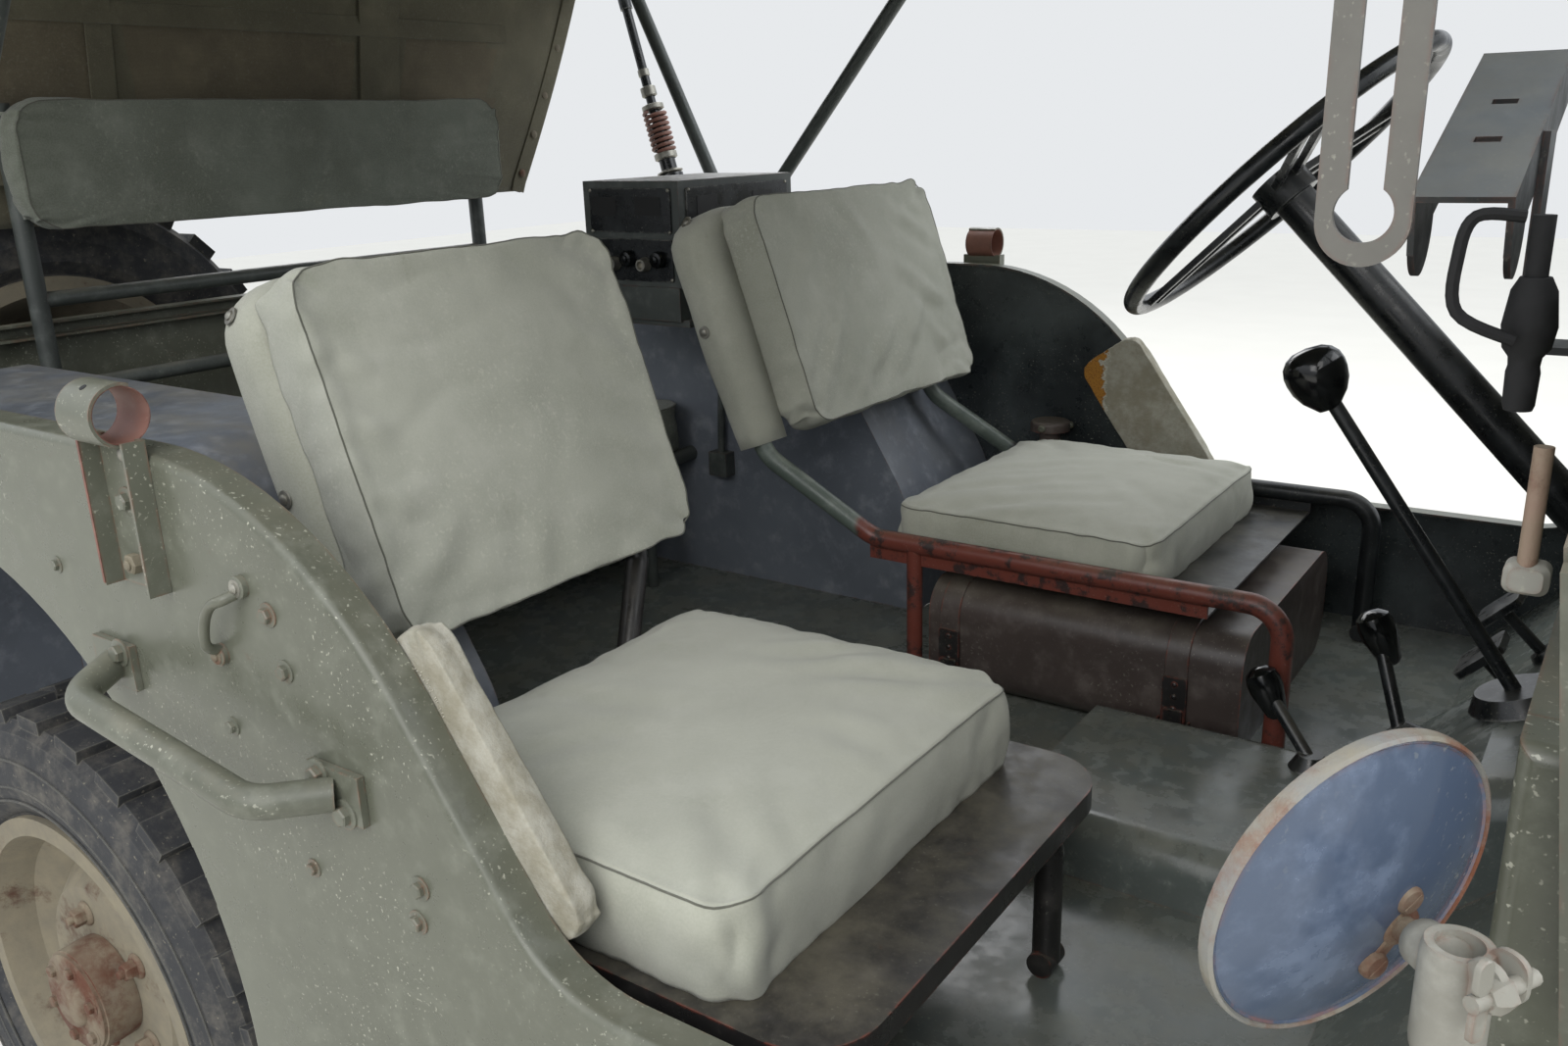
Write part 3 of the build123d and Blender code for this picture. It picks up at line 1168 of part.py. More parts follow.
# Top bows: pivot on the body sides, cross tubes under the canvas
BOW_R = 12
BOW_PIVOT_X = -1010
BOW_Y = 676
BOWS = ((-430, TOP_Z + 704), (-1330, TOP_Z + 674))
BOW_FOOT_Z = TOP_Z + 27
with BuildPart() as top_bows:
    for x, z in BOWS:
        with BuildLine():
            path = FilletPolyline(
                (BOW_PIVOT_X, -BOW_Y, BOW_FOOT_Z),
                (x, -BOW_Y, z),
                (x, BOW_Y, z),
                (BOW_PIVOT_X, BOW_Y, BOW_FOOT_Z),
                radius=90,
            )
        with BuildSketch(Plane(origin=path @ 0, z_dir=path % 0)):
            Circle(BOW_R)
        sweep(path=path)
    for side in (-1, 1):
        with Locations((BOW_PIVOT_X, side * (BODY_Y - 32), TOP_Z + RUN_GAP + 23)):
            Box(60, 64, 46)
top_bows.part.label = "top_bows"
export_step(top_bows.part, "parts/top_bows.step")

# Body side fittings: bow brackets with their band rings, and grab handles
BRACKET_X = -553
BRACKET_W = 66
BRACKET_OUT = 18
BRACKET_Z = (TOP_Z - 110, TOP_Z + 12)
RING_R = 25
RING_W = 48
RING_Z = TOP_Z + 31
HANDLE_ENDS = ((-622, TOP_Z - 190), (-336, TOP_Z - 229))
HANDLE_R = 13
HANDLE_OUT = 52
with BuildPart() as side_fittings:
    for side in (-1, 1):
        out_y = side * (BODY_Y + RUN_GAP + BRACKET_OUT / 2)
        with Locations((BRACKET_X, out_y, sum(BRACKET_Z) / 2)):
            Box(BRACKET_W, BRACKET_OUT, BRACKET_Z[1] - BRACKET_Z[0])
        with Locations((BRACKET_X, out_y + side * SKIN, sum(BRACKET_Z) / 2)):
            Box(BRACKET_W - 2 * SKIN, BRACKET_OUT, BRACKET_Z[1] - BRACKET_Z[0], mode=Mode.SUBTRACT)
        with Locations(Location((BRACKET_X, out_y, RING_Z), (0, 90, 0))):
            Cylinder(RING_R, RING_W)
            Cylinder(RING_R - 2.5, RING_W, mode=Mode.SUBTRACT)
    for side in (-1, 1):
        with BuildLine():
            path = FilletPolyline(
                (HANDLE_ENDS[0][0], side * (BODY_Y + 6), HANDLE_ENDS[0][1]),
                (HANDLE_ENDS[0][0] + 22, side * (BODY_Y + HANDLE_OUT), HANDLE_ENDS[0][1] - 8),
                (HANDLE_ENDS[1][0] - 36, side * (BODY_Y + HANDLE_OUT), HANDLE_ENDS[1][1] + 3),
                (HANDLE_ENDS[1][0], side * (BODY_Y + 6), HANDLE_ENDS[1][1]),
                radius=34,
            )
        with BuildSketch(Plane(origin=path @ 0, z_dir=path % 0)):
            Circle(HANDLE_R)
        sweep(path=path)
        for x, z in HANDLE_ENDS:
            with Locations((x, side * (BODY_Y + 3.3), z)):
                Box(58, 6, 40)
    Box(TAIL_X * -2, 2 * (BODY_Y + RUN_GAP), 3 * TOP_Z, mode=Mode.SUBTRACT)
side_fittings.part.label = "side_fittings"
export_step(side_fittings.part, "parts/side_fittings.step")

# Canvas top: roof strip and rear curtain as one thin closed shell
CANVAS_T = 5
CANVAS_GAP = 0.5
CANVAS_Y = 690
CANVAS_FRONT = (352, TOP_Z + 630)
CANVAS_TAIL = (-1428, TOP_Z + 124)
with BuildPart() as canvas_top:
    with BuildSketch(Plane.XZ.offset(-CANVAS_Y)):
        for depth, mode in ((CANVAS_T, Mode.ADD), (0, Mode.SUBTRACT)):
            with BuildLine():
                Polyline(CANVAS_FRONT, *BOWS, CANVAS_TAIL)
                offset(amount=BOW_R + CANVAS_GAP + depth, side=Side.RIGHT, closed=True)
            make_face(mode=mode)
    extrude(amount=2 * CANVAS_Y)
canvas_top.part.label = "canvas_top"
export_step(canvas_top.part, "parts/canvas_top.step")

# Door edge pads on the inner side flanges
EDGE_PAD = (240, 24, 90)
EDGE_PAD_X = -247
EDGE_PAD_Z = TOP_Z - 227
with BuildPart() as edge_pads:
    for side in (-1, 1):
        pad_y = side * (BODY_Y - FLANGE - RUN_GAP - EDGE_PAD[1] / 2)
        with Locations(Location((EDGE_PAD_X, pad_y, EDGE_PAD_Z), (0, SLOPE, 0))):
            Box(*EDGE_PAD)
    fillet(edge_pads.edges(), 10)
edge_pads.part.label = "edge_pads"
export_step(edge_pads.part, "parts/edge_pads.step")

# Round mirrors: dished back, ball stub and clamp on a bent open tube
MIRROR_R = 55.5
MIRROR = Vector(354, 837, TOP_Z - 13.5)
MIRROR_DISH = 18
MIRROR_RIM = 3
MIRROR_BACK = Vector(0.778, 0.393, -0.49)
ARM_TUBE_R = 9
ARM_FOOT = (420, TOP_Z - 160)
ARM_TOP = (386, 838, TOP_Z - 24)
with BuildPart() as mirrors:
    with BuildLine():
        path = FilletPolyline(
            (ARM_FOOT[0], BODY_Y + RUN_GAP + 4, ARM_FOOT[1]),
            (ARM_TOP[0], ARM_TOP[1], ARM_FOOT[1]),
            ARM_TOP,
            radius=30,
        )
    with BuildSketch(Plane(origin=path @ 0, z_dir=path % 0)):
        Circle(ARM_TUBE_R)
    sweep(path=path)
    with Locations((ARM_FOOT[0], BODY_Y + RUN_GAP + 3, ARM_FOOT[1])):
        Box(50, 6, 70)
    with Locations((ARM_TOP[0], ARM_TOP[1], ARM_TOP[2] - 14)):
        Cylinder(ARM_TUBE_R + 4, 16)
    dish_seat = MIRROR + MIRROR_BACK * (MIRROR_DISH - 2)
    stub_run = Vector(ARM_TOP[0], ARM_TOP[1], ARM_TOP[2] - 14) - dish_seat
    with BuildSketch(Plane(origin=dish_seat, z_dir=stub_run)):
        Circle(5.5)
    extrude(amount=stub_run.length)
    with Locations((ARM_TOP[0], ARM_TOP[1], ARM_TOP[2] - 15)):
        Cylinder(ARM_TUBE_R - 2.5, 31, mode=Mode.SUBTRACT)
    dish_plane = Plane(origin=MIRROR, x_dir=MIRROR_BACK.cross(Vector(0, 0, 1)), z_dir=MIRROR_BACK)
    with BuildSketch(Plane(origin=MIRROR, x_dir=dish_plane.x_dir, z_dir=-dish_plane.y_dir)):
        with BuildLine():
            Polyline((0, MIRROR_DISH), (0, -MIRROR_RIM), (MIRROR_R, -MIRROR_RIM), (MIRROR_R, MIRROR_RIM))
            ThreePointArc(
                (MIRROR_R, MIRROR_RIM),
                (MIRROR_R * 0.62, MIRROR_DISH * 0.72),
                (0, MIRROR_DISH),
            )
        make_face()
    revolve(axis=Axis(MIRROR, MIRROR_BACK))
    mirror(about=Plane.XZ)
mirrors.part.label = "mirrors"
export_step(mirrors.part, "parts/mirrors.step")
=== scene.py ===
# Looks of the quarter-ton military 4x4: finishes, soft goods and small fittings,
# in metres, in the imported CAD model's frame (+X forward, +Y left, +Z up).
import math

import bmesh
import bpy
from mathutils import Matrix, Vector, noise
from mathutils.bvhtree import BVHTree


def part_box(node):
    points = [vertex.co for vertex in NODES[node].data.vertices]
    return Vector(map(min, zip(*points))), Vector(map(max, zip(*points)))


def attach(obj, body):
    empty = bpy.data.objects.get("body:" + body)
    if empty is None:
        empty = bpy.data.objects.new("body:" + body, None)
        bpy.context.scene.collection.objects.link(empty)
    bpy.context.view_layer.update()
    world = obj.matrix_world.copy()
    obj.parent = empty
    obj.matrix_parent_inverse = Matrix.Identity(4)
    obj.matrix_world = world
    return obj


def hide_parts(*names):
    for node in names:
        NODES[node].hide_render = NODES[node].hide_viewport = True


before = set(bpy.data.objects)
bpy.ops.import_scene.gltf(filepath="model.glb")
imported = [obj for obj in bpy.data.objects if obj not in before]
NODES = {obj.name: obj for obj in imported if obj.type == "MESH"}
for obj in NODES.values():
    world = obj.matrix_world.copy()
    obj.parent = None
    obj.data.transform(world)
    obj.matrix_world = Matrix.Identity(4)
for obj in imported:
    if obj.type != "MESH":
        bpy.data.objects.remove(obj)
SIDES = ((-1, "right"), (1, "left"))
FORE, AFT, LEFTWARD, RIGHTWARD, UP = (1, 0, 0), (-1, 0, 0), (0, 1, 0), (0, -1, 0), (0, 0, 1)
# Outer face of the body sides, and the smallest radius of a turned shape's closed end
SIDE_Y = 0.735
TIP = 1e-5
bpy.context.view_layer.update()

# Camera: place, heading, tilt and roll in degrees, focal length in millimetres on a 36 mm sensor
CAMERA_AT = (0.408, -1.222, 1.267)
CAMERA_AZ = 35.21
CAMERA_EL = 17.15
CAMERA_ROLL = -1.76
CAMERA_LENS = 29.14

# World: strength near the horizon and overhead, between two heights of the view direction
SKY_FALL = (("From Min", -0.25), ("From Max", 0.75), ("To Min", 0.45), ("To Max", 1.6))
SKY_COLOUR = (0.86, 0.90, 0.95, 1)
BACKDROP = (0.80, 0.82, 0.84, 1)
FLOOR_REACH = 14
LAMP_AIM = Vector((0, 0, 0.9))
# Lamps: name, place, size, watts and tint
LAMPS = (
    ("key", (1.5, -4.8, 4.2), 4.5, 190, (1.0, 0.98, 0.95)),
    ("fill", (4.5, 2.5, 4.0), 4.0, 130, (0.95, 0.97, 1.0)),
    ("back", (-4.0, 4.0, 4.5), 4.0, 130, (1.0, 0.99, 0.97)),
)


def colour(text):
    """Linear colour of a hex sRGB one."""
    parts = [int(text[i : i + 2], 16) / 255 for i in (0, 2, 4)]
    return [c / 12.92 if c <= 0.04045 else ((c + 0.055) / 1.055) ** 2.4 for c in parts] + [1.0]


def clamp(value):
    return min(1.0, max(0.0, value))


class Nodes:
    """A small builder of one node tree."""

    def __init__(self, tree):
        self.tree = tree

    def new(self, kind, inputs=(), **settings):
        node = self.tree.nodes.new(kind)
        for key, value in settings.items():
            setattr(node, key, value)
        for key, value in inputs:
            self.feed(node.inputs[key], value)
        return node

    def feed(self, socket, value):
        """Link a socket, or set its own value."""
        if isinstance(value, bpy.types.NodeSocket):
            self.tree.links.new(value, socket)
        else:
            socket.default_value = value


class Shader(Nodes):
    """A builder of one Principled material."""

    def __init__(self, name, roughness=0.5, metallic=0.0, **sockets):
        self.material = bpy.data.materials.new(name)
        self.material.use_nodes = True
        super().__init__(self.material.node_tree)
        self.tree.nodes.clear()
        out = self.new("ShaderNodeOutputMaterial")
        self.bsdf = self.new("ShaderNodeBsdfPrincipled")
        self.feed(out.inputs[0], self.bsdf.outputs[0])
        self.bsdf.inputs["Roughness"].default_value = roughness
        self.bsdf.inputs["Metallic"].default_value = metallic
        for key, value in sockets.items():
            self.bsdf.inputs[key.replace("_", " ")].default_value = value
        self.place = self.new("ShaderNodeTexCoord").outputs["Object"]

    def noise(self, scale, detail, rough, stretch=None):
        place = self.place
        if stretch:
            place = self.new("ShaderNodeMapping", (("Scale", stretch), ("Vector", place))).outputs[0]
        inputs = (("Scale", scale), ("Detail", detail), ("Roughness", rough), ("Vector", place))
        return self.new("ShaderNodeTexNoise", inputs).outputs[0]

    def cells(self, scale):
        node = self.new("ShaderNodeTexVoronoi", (("Scale", scale), ("Vector", self.place)))
        return node.outputs["Distance"]

    def weave(self, scale):
        """Crossed wave bands, as threads."""
        inputs = (("Scale", scale), ("Distortion", 1.2), ("Detail", 1), ("Vector", self.place))
        x, y, z = (self.new("ShaderNodeTexWave", inputs, bands_direction=d).outputs["Fac"] for d in "XYZ")
        return self.plus(self.plus(x, y), z)

    def ramp(self, value, low, high, bottom=0.0, top=1.0):
        """Value from low to high becomes bottom to top, clamped."""
        ends = (("From Min", low), ("From Max", high), ("To Min", bottom), ("To Max", top))
        node = self.new("ShaderNodeMapRange", (*ends, ("Value", value)), interpolation_type="SMOOTHSTEP")
        return node.outputs[0]

    def patches(self, scale, detail, rough, low, high, top=1.0):
        """Soft-edged patches of noise, up to a share."""
        return self.ramp(self.noise(scale, detail, rough), low, high, 0.0, top)

    def math(self, operation, a, b=0.0):
        return self.new("ShaderNodeMath", ((0, a), (1, b)), operation=operation).outputs[0]

    def times(self, a, b):
        return self.math("MULTIPLY", a, b)

    def plus(self, a, b):
        return self.math("ADD", a, b)

    def mix(self, share, a, b):
        a, b = (colour(tone) if isinstance(tone, str) else tone for tone in (a, b))
        return self.new("ShaderNodeMix", (("Factor", share), (6, a), (7, b)), data_type="RGBA").outputs[2]

    def normal(self):
        return self.new("ShaderNodeNewGeometry").outputs["Normal"]

    def axis(self, letter, normal=False):
        """One coordinate of the place, or of the surface's normal."""
        source = self.normal() if normal else self.place
        return self.new("ShaderNodeSeparateXYZ", ((0, source),)).outputs["XYZ".index(letter)]

    def inner_face(self, depth):
        """Mask of the faces that look inward, closer to the middle than a depth."""
        y = self.axis("Y")
        looks_in = self.ramp(self.times(self.axis("Y", True), self.math("SIGN", y)), -0.3, -0.6)
        return self.times(looks_in, self.ramp(self.math("ABSOLUTE", y), depth + 0.001, depth - 0.001))

    def edges(self, radius):
        """Mask of the outer edges within a radius."""
        bevel = self.new("ShaderNodeBevel", (("Radius", radius),), samples=4)
        inputs = ((0, bevel.outputs[0]), (1, self.normal()))
        dot = self.new("ShaderNodeVectorMath", inputs, operation="DOT_PRODUCT")
        return self.ramp(dot.outputs["Value"], 0.985, 0.86)

    def bump(self, height, strength, distance):
        inputs = (("Strength", strength), ("Distance", distance), ("Height", height))
        self.feed(self.bsdf.inputs["Normal"], self.new("ShaderNodeBump", inputs).outputs[0])

    def finish(self, base, rough=None):
        self.feed(self.bsdf.inputs["Base Color"], base)
        if rough is not None:
            self.feed(self.bsdf.inputs["Roughness"], rough)
        return self.material


# Colours laid over every paint or cloth, and how far chips reach in from an edge
SPECK, DUST, RUST, STAIN, MILDEW = "b9b8a8", "8d8672", "5b3322", "7c7b60", "c9c9bb"
CHIP_REACH = 0.0035


def paint(name, tones, chip="7a5a48", gloss=0.45, dust=0.35, wear=0.5, rust=0.25, zones=None, specks=0.2):
    """Old brushed vehicle paint: mottled tone, dust on upper faces, chipped edges, rust freckles."""
    base, pale, dark = tones.split()
    s = Shader(name, roughness=gloss)
    fine = s.noise(34, 6, 0.62)
    tone = s.mix(s.patches(2.2, 5, 0.6, 0.3, 0.72), dark, base)
    tone = s.mix(s.ramp(fine, 0.46, 0.78, 0, 0.55), tone, pale)
    if zones:
        tone = zones(s, tone)
    dots = s.times(s.patches(310, 2, 0.5, 0.63, 0.72, specks), s.patches(7, 3, 0.6, 0.38, 0.7))
    tone = s.mix(dots, tone, SPECK)
    top_faces = s.ramp(s.axis("Z", True), 0.25, 0.95, 0.0, dust)
    dusty = s.times(top_faces, s.patches(11, 6, 0.7, 0.3, 0.75))
    tone = s.mix(dusty, tone, DUST)
    tone = s.mix(s.times(s.edges(CHIP_REACH), s.patches(48, 5, 0.7, 0.42, 0.6, wear)), tone, chip)
    freckle = s.patches(26, 8, 0.74, 0.64, 0.71, rust)
    tone = s.mix(freckle, tone, RUST)
    s.bump(s.plus(s.noise(160, 3, 0.6), s.times(freckle, 1.5)), 0.12, 0.0006)
    return s.finish(tone, s.plus(s.ramp(fine, 0.3, 0.8, gloss - 0.06, gloss + 0.2), s.times(dusty, 0.5)))


def canvas(name, tones, mildew, thread=1500):
    """Cotton duck: crossed threads, upward faces paler as a painted highlight, stains, pale mildew speckle.
    """
    base, pale, dark = tones.split()
    s = Shader(name, roughness=0.92, Sheen_Weight=0.25, Sheen_Roughness=0.6)
    tone = s.mix(s.patches(5.5, 4, 0.6, 0.32, 0.7), dark, base)
    tone = s.mix(s.patches(16, 6, 0.66, 0.45, 0.8, 0.6), tone, pale)
    # Painted highlight: faces that look up are paler
    tone = s.mix(s.ramp(s.axis("Z", True), -0.4, 0.9, 0.0, 0.3), tone, pale)
    tone = s.mix(s.ramp(s.noise(9, 7, 0.7, (1, 1.6, 1)), 0.6, 0.74, 0, 0.45), tone, STAIN)
    spots = s.times(s.patches(210, 4, 0.65, 0.54, 0.68), s.patches(6, 3, 0.6, 0.38, 0.62))
    tone = s.mix(s.times(spots, mildew), tone, MILDEW)
    threads = s.weave(thread)
    tone = s.mix(s.ramp(threads, 0.6, 2.2, 0.0, 0.22), tone, dark)
    tone = s.mix(s.times(s.patches(520, 2, 0.6, 0.3, 0.7), 0.22), tone, pale)
    s.bump(s.plus(threads, s.times(s.noise(90, 5, 0.7), 2.0)), 0.35, 0.0005)
    return s.finish(tone)


def rubber(name):
    """Dusty tyre rubber, paler along its edges, and pale grit."""
    s = Shader(name, roughness=0.85)
    tone = s.mix(s.noise(9, 5, 0.6), "27282a", "3a3b3e")
    tone = s.mix(s.times(s.patches(28, 7, 0.7, 0.42, 0.72), 0.75), tone, "625e57")
    tone = s.mix(s.times(s.edges(0.003), 0.6), tone, "77756c")
    tone = s.mix(s.patches(170, 3, 0.6, 0.63, 0.74, 0.6), tone, "8a8474")
    s.bump(s.noise(220, 5, 0.7), 0.4, 0.001)
    return s.finish(tone)


def torn_cover(name):
    """Off-white duck worn through to brown foam near the upper end, pale round the hole."""
    s = Shader(name, roughness=0.95)
    tone = s.mix(s.patches(30, 6, 0.7, 0.35, 0.7), "8f8a79", "aca99d")
    tone = s.mix(s.patches(11, 5, 0.7, 0.52, 0.7, 0.6), tone, "8f9080")
    near = s.ramp(s.axis("X"), -0.27, -0.325)
    reach = s.plus(s.times(near, 0.42), s.times(s.noise(38, 6, 0.72), 0.8))
    hole = s.ramp(reach, 0.74, 0.77)
    foam = s.mix(s.ramp(s.cells(420), 0.1, 0.5), "6e4420", "a8752f")
    tone = s.mix(s.ramp(reach, 0.68, 0.74), tone, "c6c2b4")
    s.bump(s.math("SUBTRACT", s.noise(260, 4, 0.7), s.times(hole, 3.0)), 0.7, 0.0015)
    return s.finish(s.mix(hole, tone, foam))


def rusty(name, base, rust, share, rough):
    """Bare or thinly painted iron with rust blooms."""
    s = Shader(name, roughness=rough)
    bloom = s.patches(14, 8, 0.7, 0.62 - 0.3 * share, 0.75 - 0.2 * share)
    deep = s.mix(s.noise(80, 6, 0.7), rust, "4a2616")
    tone = s.mix(bloom, s.mix(s.noise(40, 5, 0.6), base, "8f8670"), deep)
    dust = s.times(s.ramp(s.axis("Z", True), 0.2, 0.9), s.patches(20, 5, 0.6, 0.35, 0.7, 0.6))
    s.bump(s.plus(s.noise(150, 6, 0.7), bloom), 0.4, 0.0012)
    return s.finish(s.mix(dust, tone, "938a76"))


def glass(name, clean=0.04):
    """Clear panes with smears."""
    s = Shader(name, roughness=clean, IOR=1.45, Alpha=0.22)
    smear = s.ramp(s.noise(13, 6, 0.7), 0.35, 0.8, clean, clean + 0.3)
    return s.finish(s.mix(s.noise(6, 3, 0.5), "dfe6e0", "c8d0c6"), smear)


def plain(name, base, pale, rough=0.4, metallic=0.0, grain=60):
    """One material with a faint mottle, for small hardware."""
    s = Shader(name, roughness=rough, metallic=metallic)
    mottle = s.noise(grain, 5, 0.65)
    s.bump(mottle, 0.1, 0.0004)
    tone = s.mix(s.ramp(mottle, 0.35, 0.75), base, pale)
    return s.finish(tone, s.ramp(mottle, 0.3, 0.8, rough, rough + 0.2))


def side_inner_painted_shade(s, tone):
    """Painted shade: the inward faces of the body sides are darkened near to black."""
    dark = s.mix(s.patches(9, 5, 0.65, 0.35, 0.7), "262b2d", "434a4b")
    # Painted shade, near black, on the faces that look inward
    return s.mix(s.inner_face(SIDE_Y - 0.001), tone, dark)


def screen_zones(s, tone):
    """Slotted arm pale grey; its channel slate grey with painted light, grey on upward faces and near black
    on the others; the frame itself stays olive.
    """
    x, away = s.axis("X"), s.math("ABSOLUTE", s.axis("Y"))
    channel = s.times(s.ramp(x, 0.372, 0.370), s.ramp(s.axis("Z"), 1.685, 1.683))
    between = s.times(s.ramp(away, 0.6312, 0.6316), s.ramp(away, 0.6388, 0.6384))
    arm = s.times(between, s.ramp(x, 0.3165, 0.3160))
    # Painted light on the channel: grey where its faces look up, near black where they look sideways or down
    slate = s.mix(s.ramp(s.axis("Z", True), 0.2, 0.8), "222526", "6f757a")
    return s.mix(arm, s.mix(channel, tone, slate), s.mix(s.noise(60, 5, 0.6), "6e6c66", "5e5c57"))


def driver_zones(s, tone):
    """The driver's frame: near tube red oxide, far one black, back tubes grey-green."""
    red = s.mix(s.patches(34, 7, 0.72, 0.5, 0.6), "6e3a30", "332624")
    tone = s.mix(s.ramp(s.axis("Y"), 0.172, 0.168), tone, red)
    green = s.mix(s.patches(22, 5, 0.6, 0.4, 0.7), "566059", "7a837b")
    tone = s.mix(s.ramp(s.axis("Z"), 0.772, 0.778), tone, green)
    return s.mix(s.ramp(s.axis("X"), -0.437, -0.445), tone, green)


# Paints and cloths: base, pale and dark tone; rust: base and rust tone, share and roughness
MATERIALS = {
    "olive": paint("olive_paint", "64665a 828478 515347", gloss=0.34, wear=0.8, specks=0.85),
    "side": paint("side_paint", "64665a 828478 54564a", gloss=0.30, dust=0.2, wear=0.6, zones=side_inner_painted_shade,
                  specks=0.85),
    "screen": paint("screen_paint", "5f6155 7b7d70 4e5045", "6d4a40", 0.4, zones=screen_zones, specks=0.35),
    "inner": paint("inner_side_paint", "4f5451 6b706c 3a3e3c", "6d4a40", 0.4, dust=0.3),
    # Wheelhouse tones: grey paint made pale and bluish as a painted sky reflection
    "house": paint("wheelhouse_paint_and_painted_reflection", "7c828b a0a5ad 61666f", gloss=0.36, dust=0.5, wear=0.8),
    "floor": paint("floor_paint", "6c736f 868d88 585e5b", gloss=0.16, rust=0.3, specks=0.3),
    "chassis": paint("chassis_paint", "4a4e41 60624f 35382e", gloss=0.6, dust=0.6, rust=0.5),
    "tank": paint("tank_paint", "564c47 706862 433b38", "8a4838", 0.34, dust=0.3, wear=1.0),
    "black": paint("black_enamel", "1d2022 363a3c 121416", "8a8a84", 0.26, dust=0.2, wear=0.7, rust=0.1),
    "pan": paint("pan_paint", "312f2e 4a4744 201f1f", "7d4337", 0.32, dust=0.4, wear=1.0),
    "driver": paint("driver_tube", "1f2224 34383a 15181a", "4a332c", 0.34, dust=0.25, zones=driver_zones),
    "oxide": paint("oxide_red", "82584b 96695b 67443a", "2c2422", 0.5, dust=0.2, wear=0.8),
    "rim": rusty("rim_dust", "69645a", "5e4c40", 0.25, 0.88),
    "hub": rusty("hub_rust", "5d4a42", "66402f", 0.7, 0.85),
    "iron": rusty("old_iron", "4a4640", "6c4028", 0.4, 0.7),
    "rubber": rubber("tyre_rubber"),
    "cover": canvas("seat_cover_duck", "adae9f c0c0b3 979888", 0.18),
    "worn": canvas("back_cover_duck", "acad9f bfbfb3 949687", 0.6),
    "thread": canvas("seam_thread", "5c5c50 6a6a5d 4c4c42", 0.1),
    "bench": canvas("bench_cover_duck", "757b6f 92968a 5a5f52", 0.25),
    "top": canvas("top_duck", "6c6852 827c65 524e3b", 0.1, 1100),
    "pane": canvas("curtain_window", "736a54 857b63 564e3b", 0.1, 300),
    "torn": torn_cover("torn_pad_cover"),
    "fray": canvas("frayed_threads", "cfcabb dcd8cb a79f88", 0.1),
    "web": canvas("webbing", "6e6a52 86826a 524f3c", 0.2, 900),
    "zinc": plain("worn_zinc", "8a8880", "b4b1a6", 0.42, 0.8),
    "steel": plain("bright_steel", "7c7b77", "a7a6a0", 0.33, 1.0),
    "knob": plain("black_knob", "0d0e0e", "17191a", 0.08),
    "matte": plain("rough_black", "1b1b1c", "2b2b2c", 0.75, 0.0, 140),
    "white": paint("white_tube", "a3a198 bdbbb1 85837a", "77452f", 0.5, dust=0.2, rust=0.7, specks=0.85),
    "pink": rusty("pink_rod", "9b7a6d", "7c4635", 0.45, 0.6),
    # Mirror back tones: slate paint brightened and blued as a painted sky reflection
    "slate": paint("mirror_back_and_painted_reflection", "56647a 7b89a0 465266", "8d5b43", 0.16, 0.3, 0.6, 0.5, specks=0.4),
    "mirror_rim": rusty("mirror_rim", "737b84", "8d5b43", 0.55, 0.3),
    "lens": plain("lamp_lens", "c9cdca", "dfe2de", 0.06),
    "red": plain("tail_lens", "6d1512", "841d18", 0.12),
    "glass": glass("screen_glass"),
    "dial": plain("dial_face", "141414", "202020", 0.5),
    "tick": plain("dial_mark", "c9c7ba", "dedccf", 0.5),
}
CORNERS = ("front_left", "front_right", "rear_left", "rear_right")
BY_NODE = {
    "olive": ("cowl", "hood", "grille", "fenders", "rear_panel", "side_fittings", "fuel_can", "front_bumper",
              "rear_fittings"),
    "side": ("body_sides",),
    "screen": ("windscreen_frame", "windscreen_inner"),
    "inner": ("radio", "rear_back_frame", "rear_seat_frame", "top_bows"),
    "house": ("wheelhouses",),
    "floor": ("floor_pan",),
    "chassis": ("frame", "axles", "leaf_springs", "knuckle_left", "knuckle_right", "tie_rod", "gearbox",
                "engine_block"),
    "tank": ("fuel_tank",),
    "black": ("steering_column", "steering_wheel", "levers", "aerial", "radiator"),
    "pan": ("passenger_frame",),
    "driver": ("driver_frame",),
    "slate": ("mirrors",),
    "rubber": [f"tyre_{corner}" for corner in CORNERS] + ["spare_tyre"],
    "rim": [f"rim_{corner}" for corner in CORNERS] + ["spare_rim"],
    "cover": ("driver_cushion", "driver_back", "passenger_cushion", "passenger_back", "edge_pads"),
    "bench": ("rear_cushion", "rear_back"),
    "top": ("canvas_top",),
    "zinc": ("headlamps",),
    "glass": ("windscreen_glass",),
}

# Every CAD node gets its procedural material
for key, names in BY_NODE.items():
    for name in names:
        NODES[name].data.materials.clear()
        NODES[name].data.materials.append(MATERIALS[key])


def add_mesh(name, verts, faces, material, body):
    """One smooth mesh object that rides on a body."""
    data = bpy.data.meshes.new(name)
    data.from_pydata([tuple(v) for v in verts], [], faces)
    data.update()
    data.materials.append(MATERIALS[material])
    for face in data.polygons:
        face.use_smooth = True
    obj = bpy.data.objects.new(name, data)
    bpy.context.scene.collection.objects.link(obj)
    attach(obj, body)
    return obj


def add_modifier(obj, kind, **settings):
    modifier = obj.modifiers.new(kind.lower(), kind)
    for key, value in settings.items():
        setattr(modifier, key, value)


def grid(rows, columns, rows_meet=False, columns_meet=False):
    """Faces of a grid of points; its last row or column can meet the first."""
    faces = []
    for i in range(rows if rows_meet else rows - 1):
        for k in range(columns if columns_meet else columns - 1):
            here, there, beside = i * columns, (i + 1) % rows * columns, (k + 1) % columns
            faces.append((here + k, here + beside, there + beside, there + k))
    return faces


def axes_of(normal):
    """A direction's unit vector and two more square to it."""
    n = Vector(normal).normalized()
    side = Vector(UP).cross(n)
    if side.length < 1e-4:
        side = Vector(FORE)
    side.normalize()
    return n, side, n.cross(side)


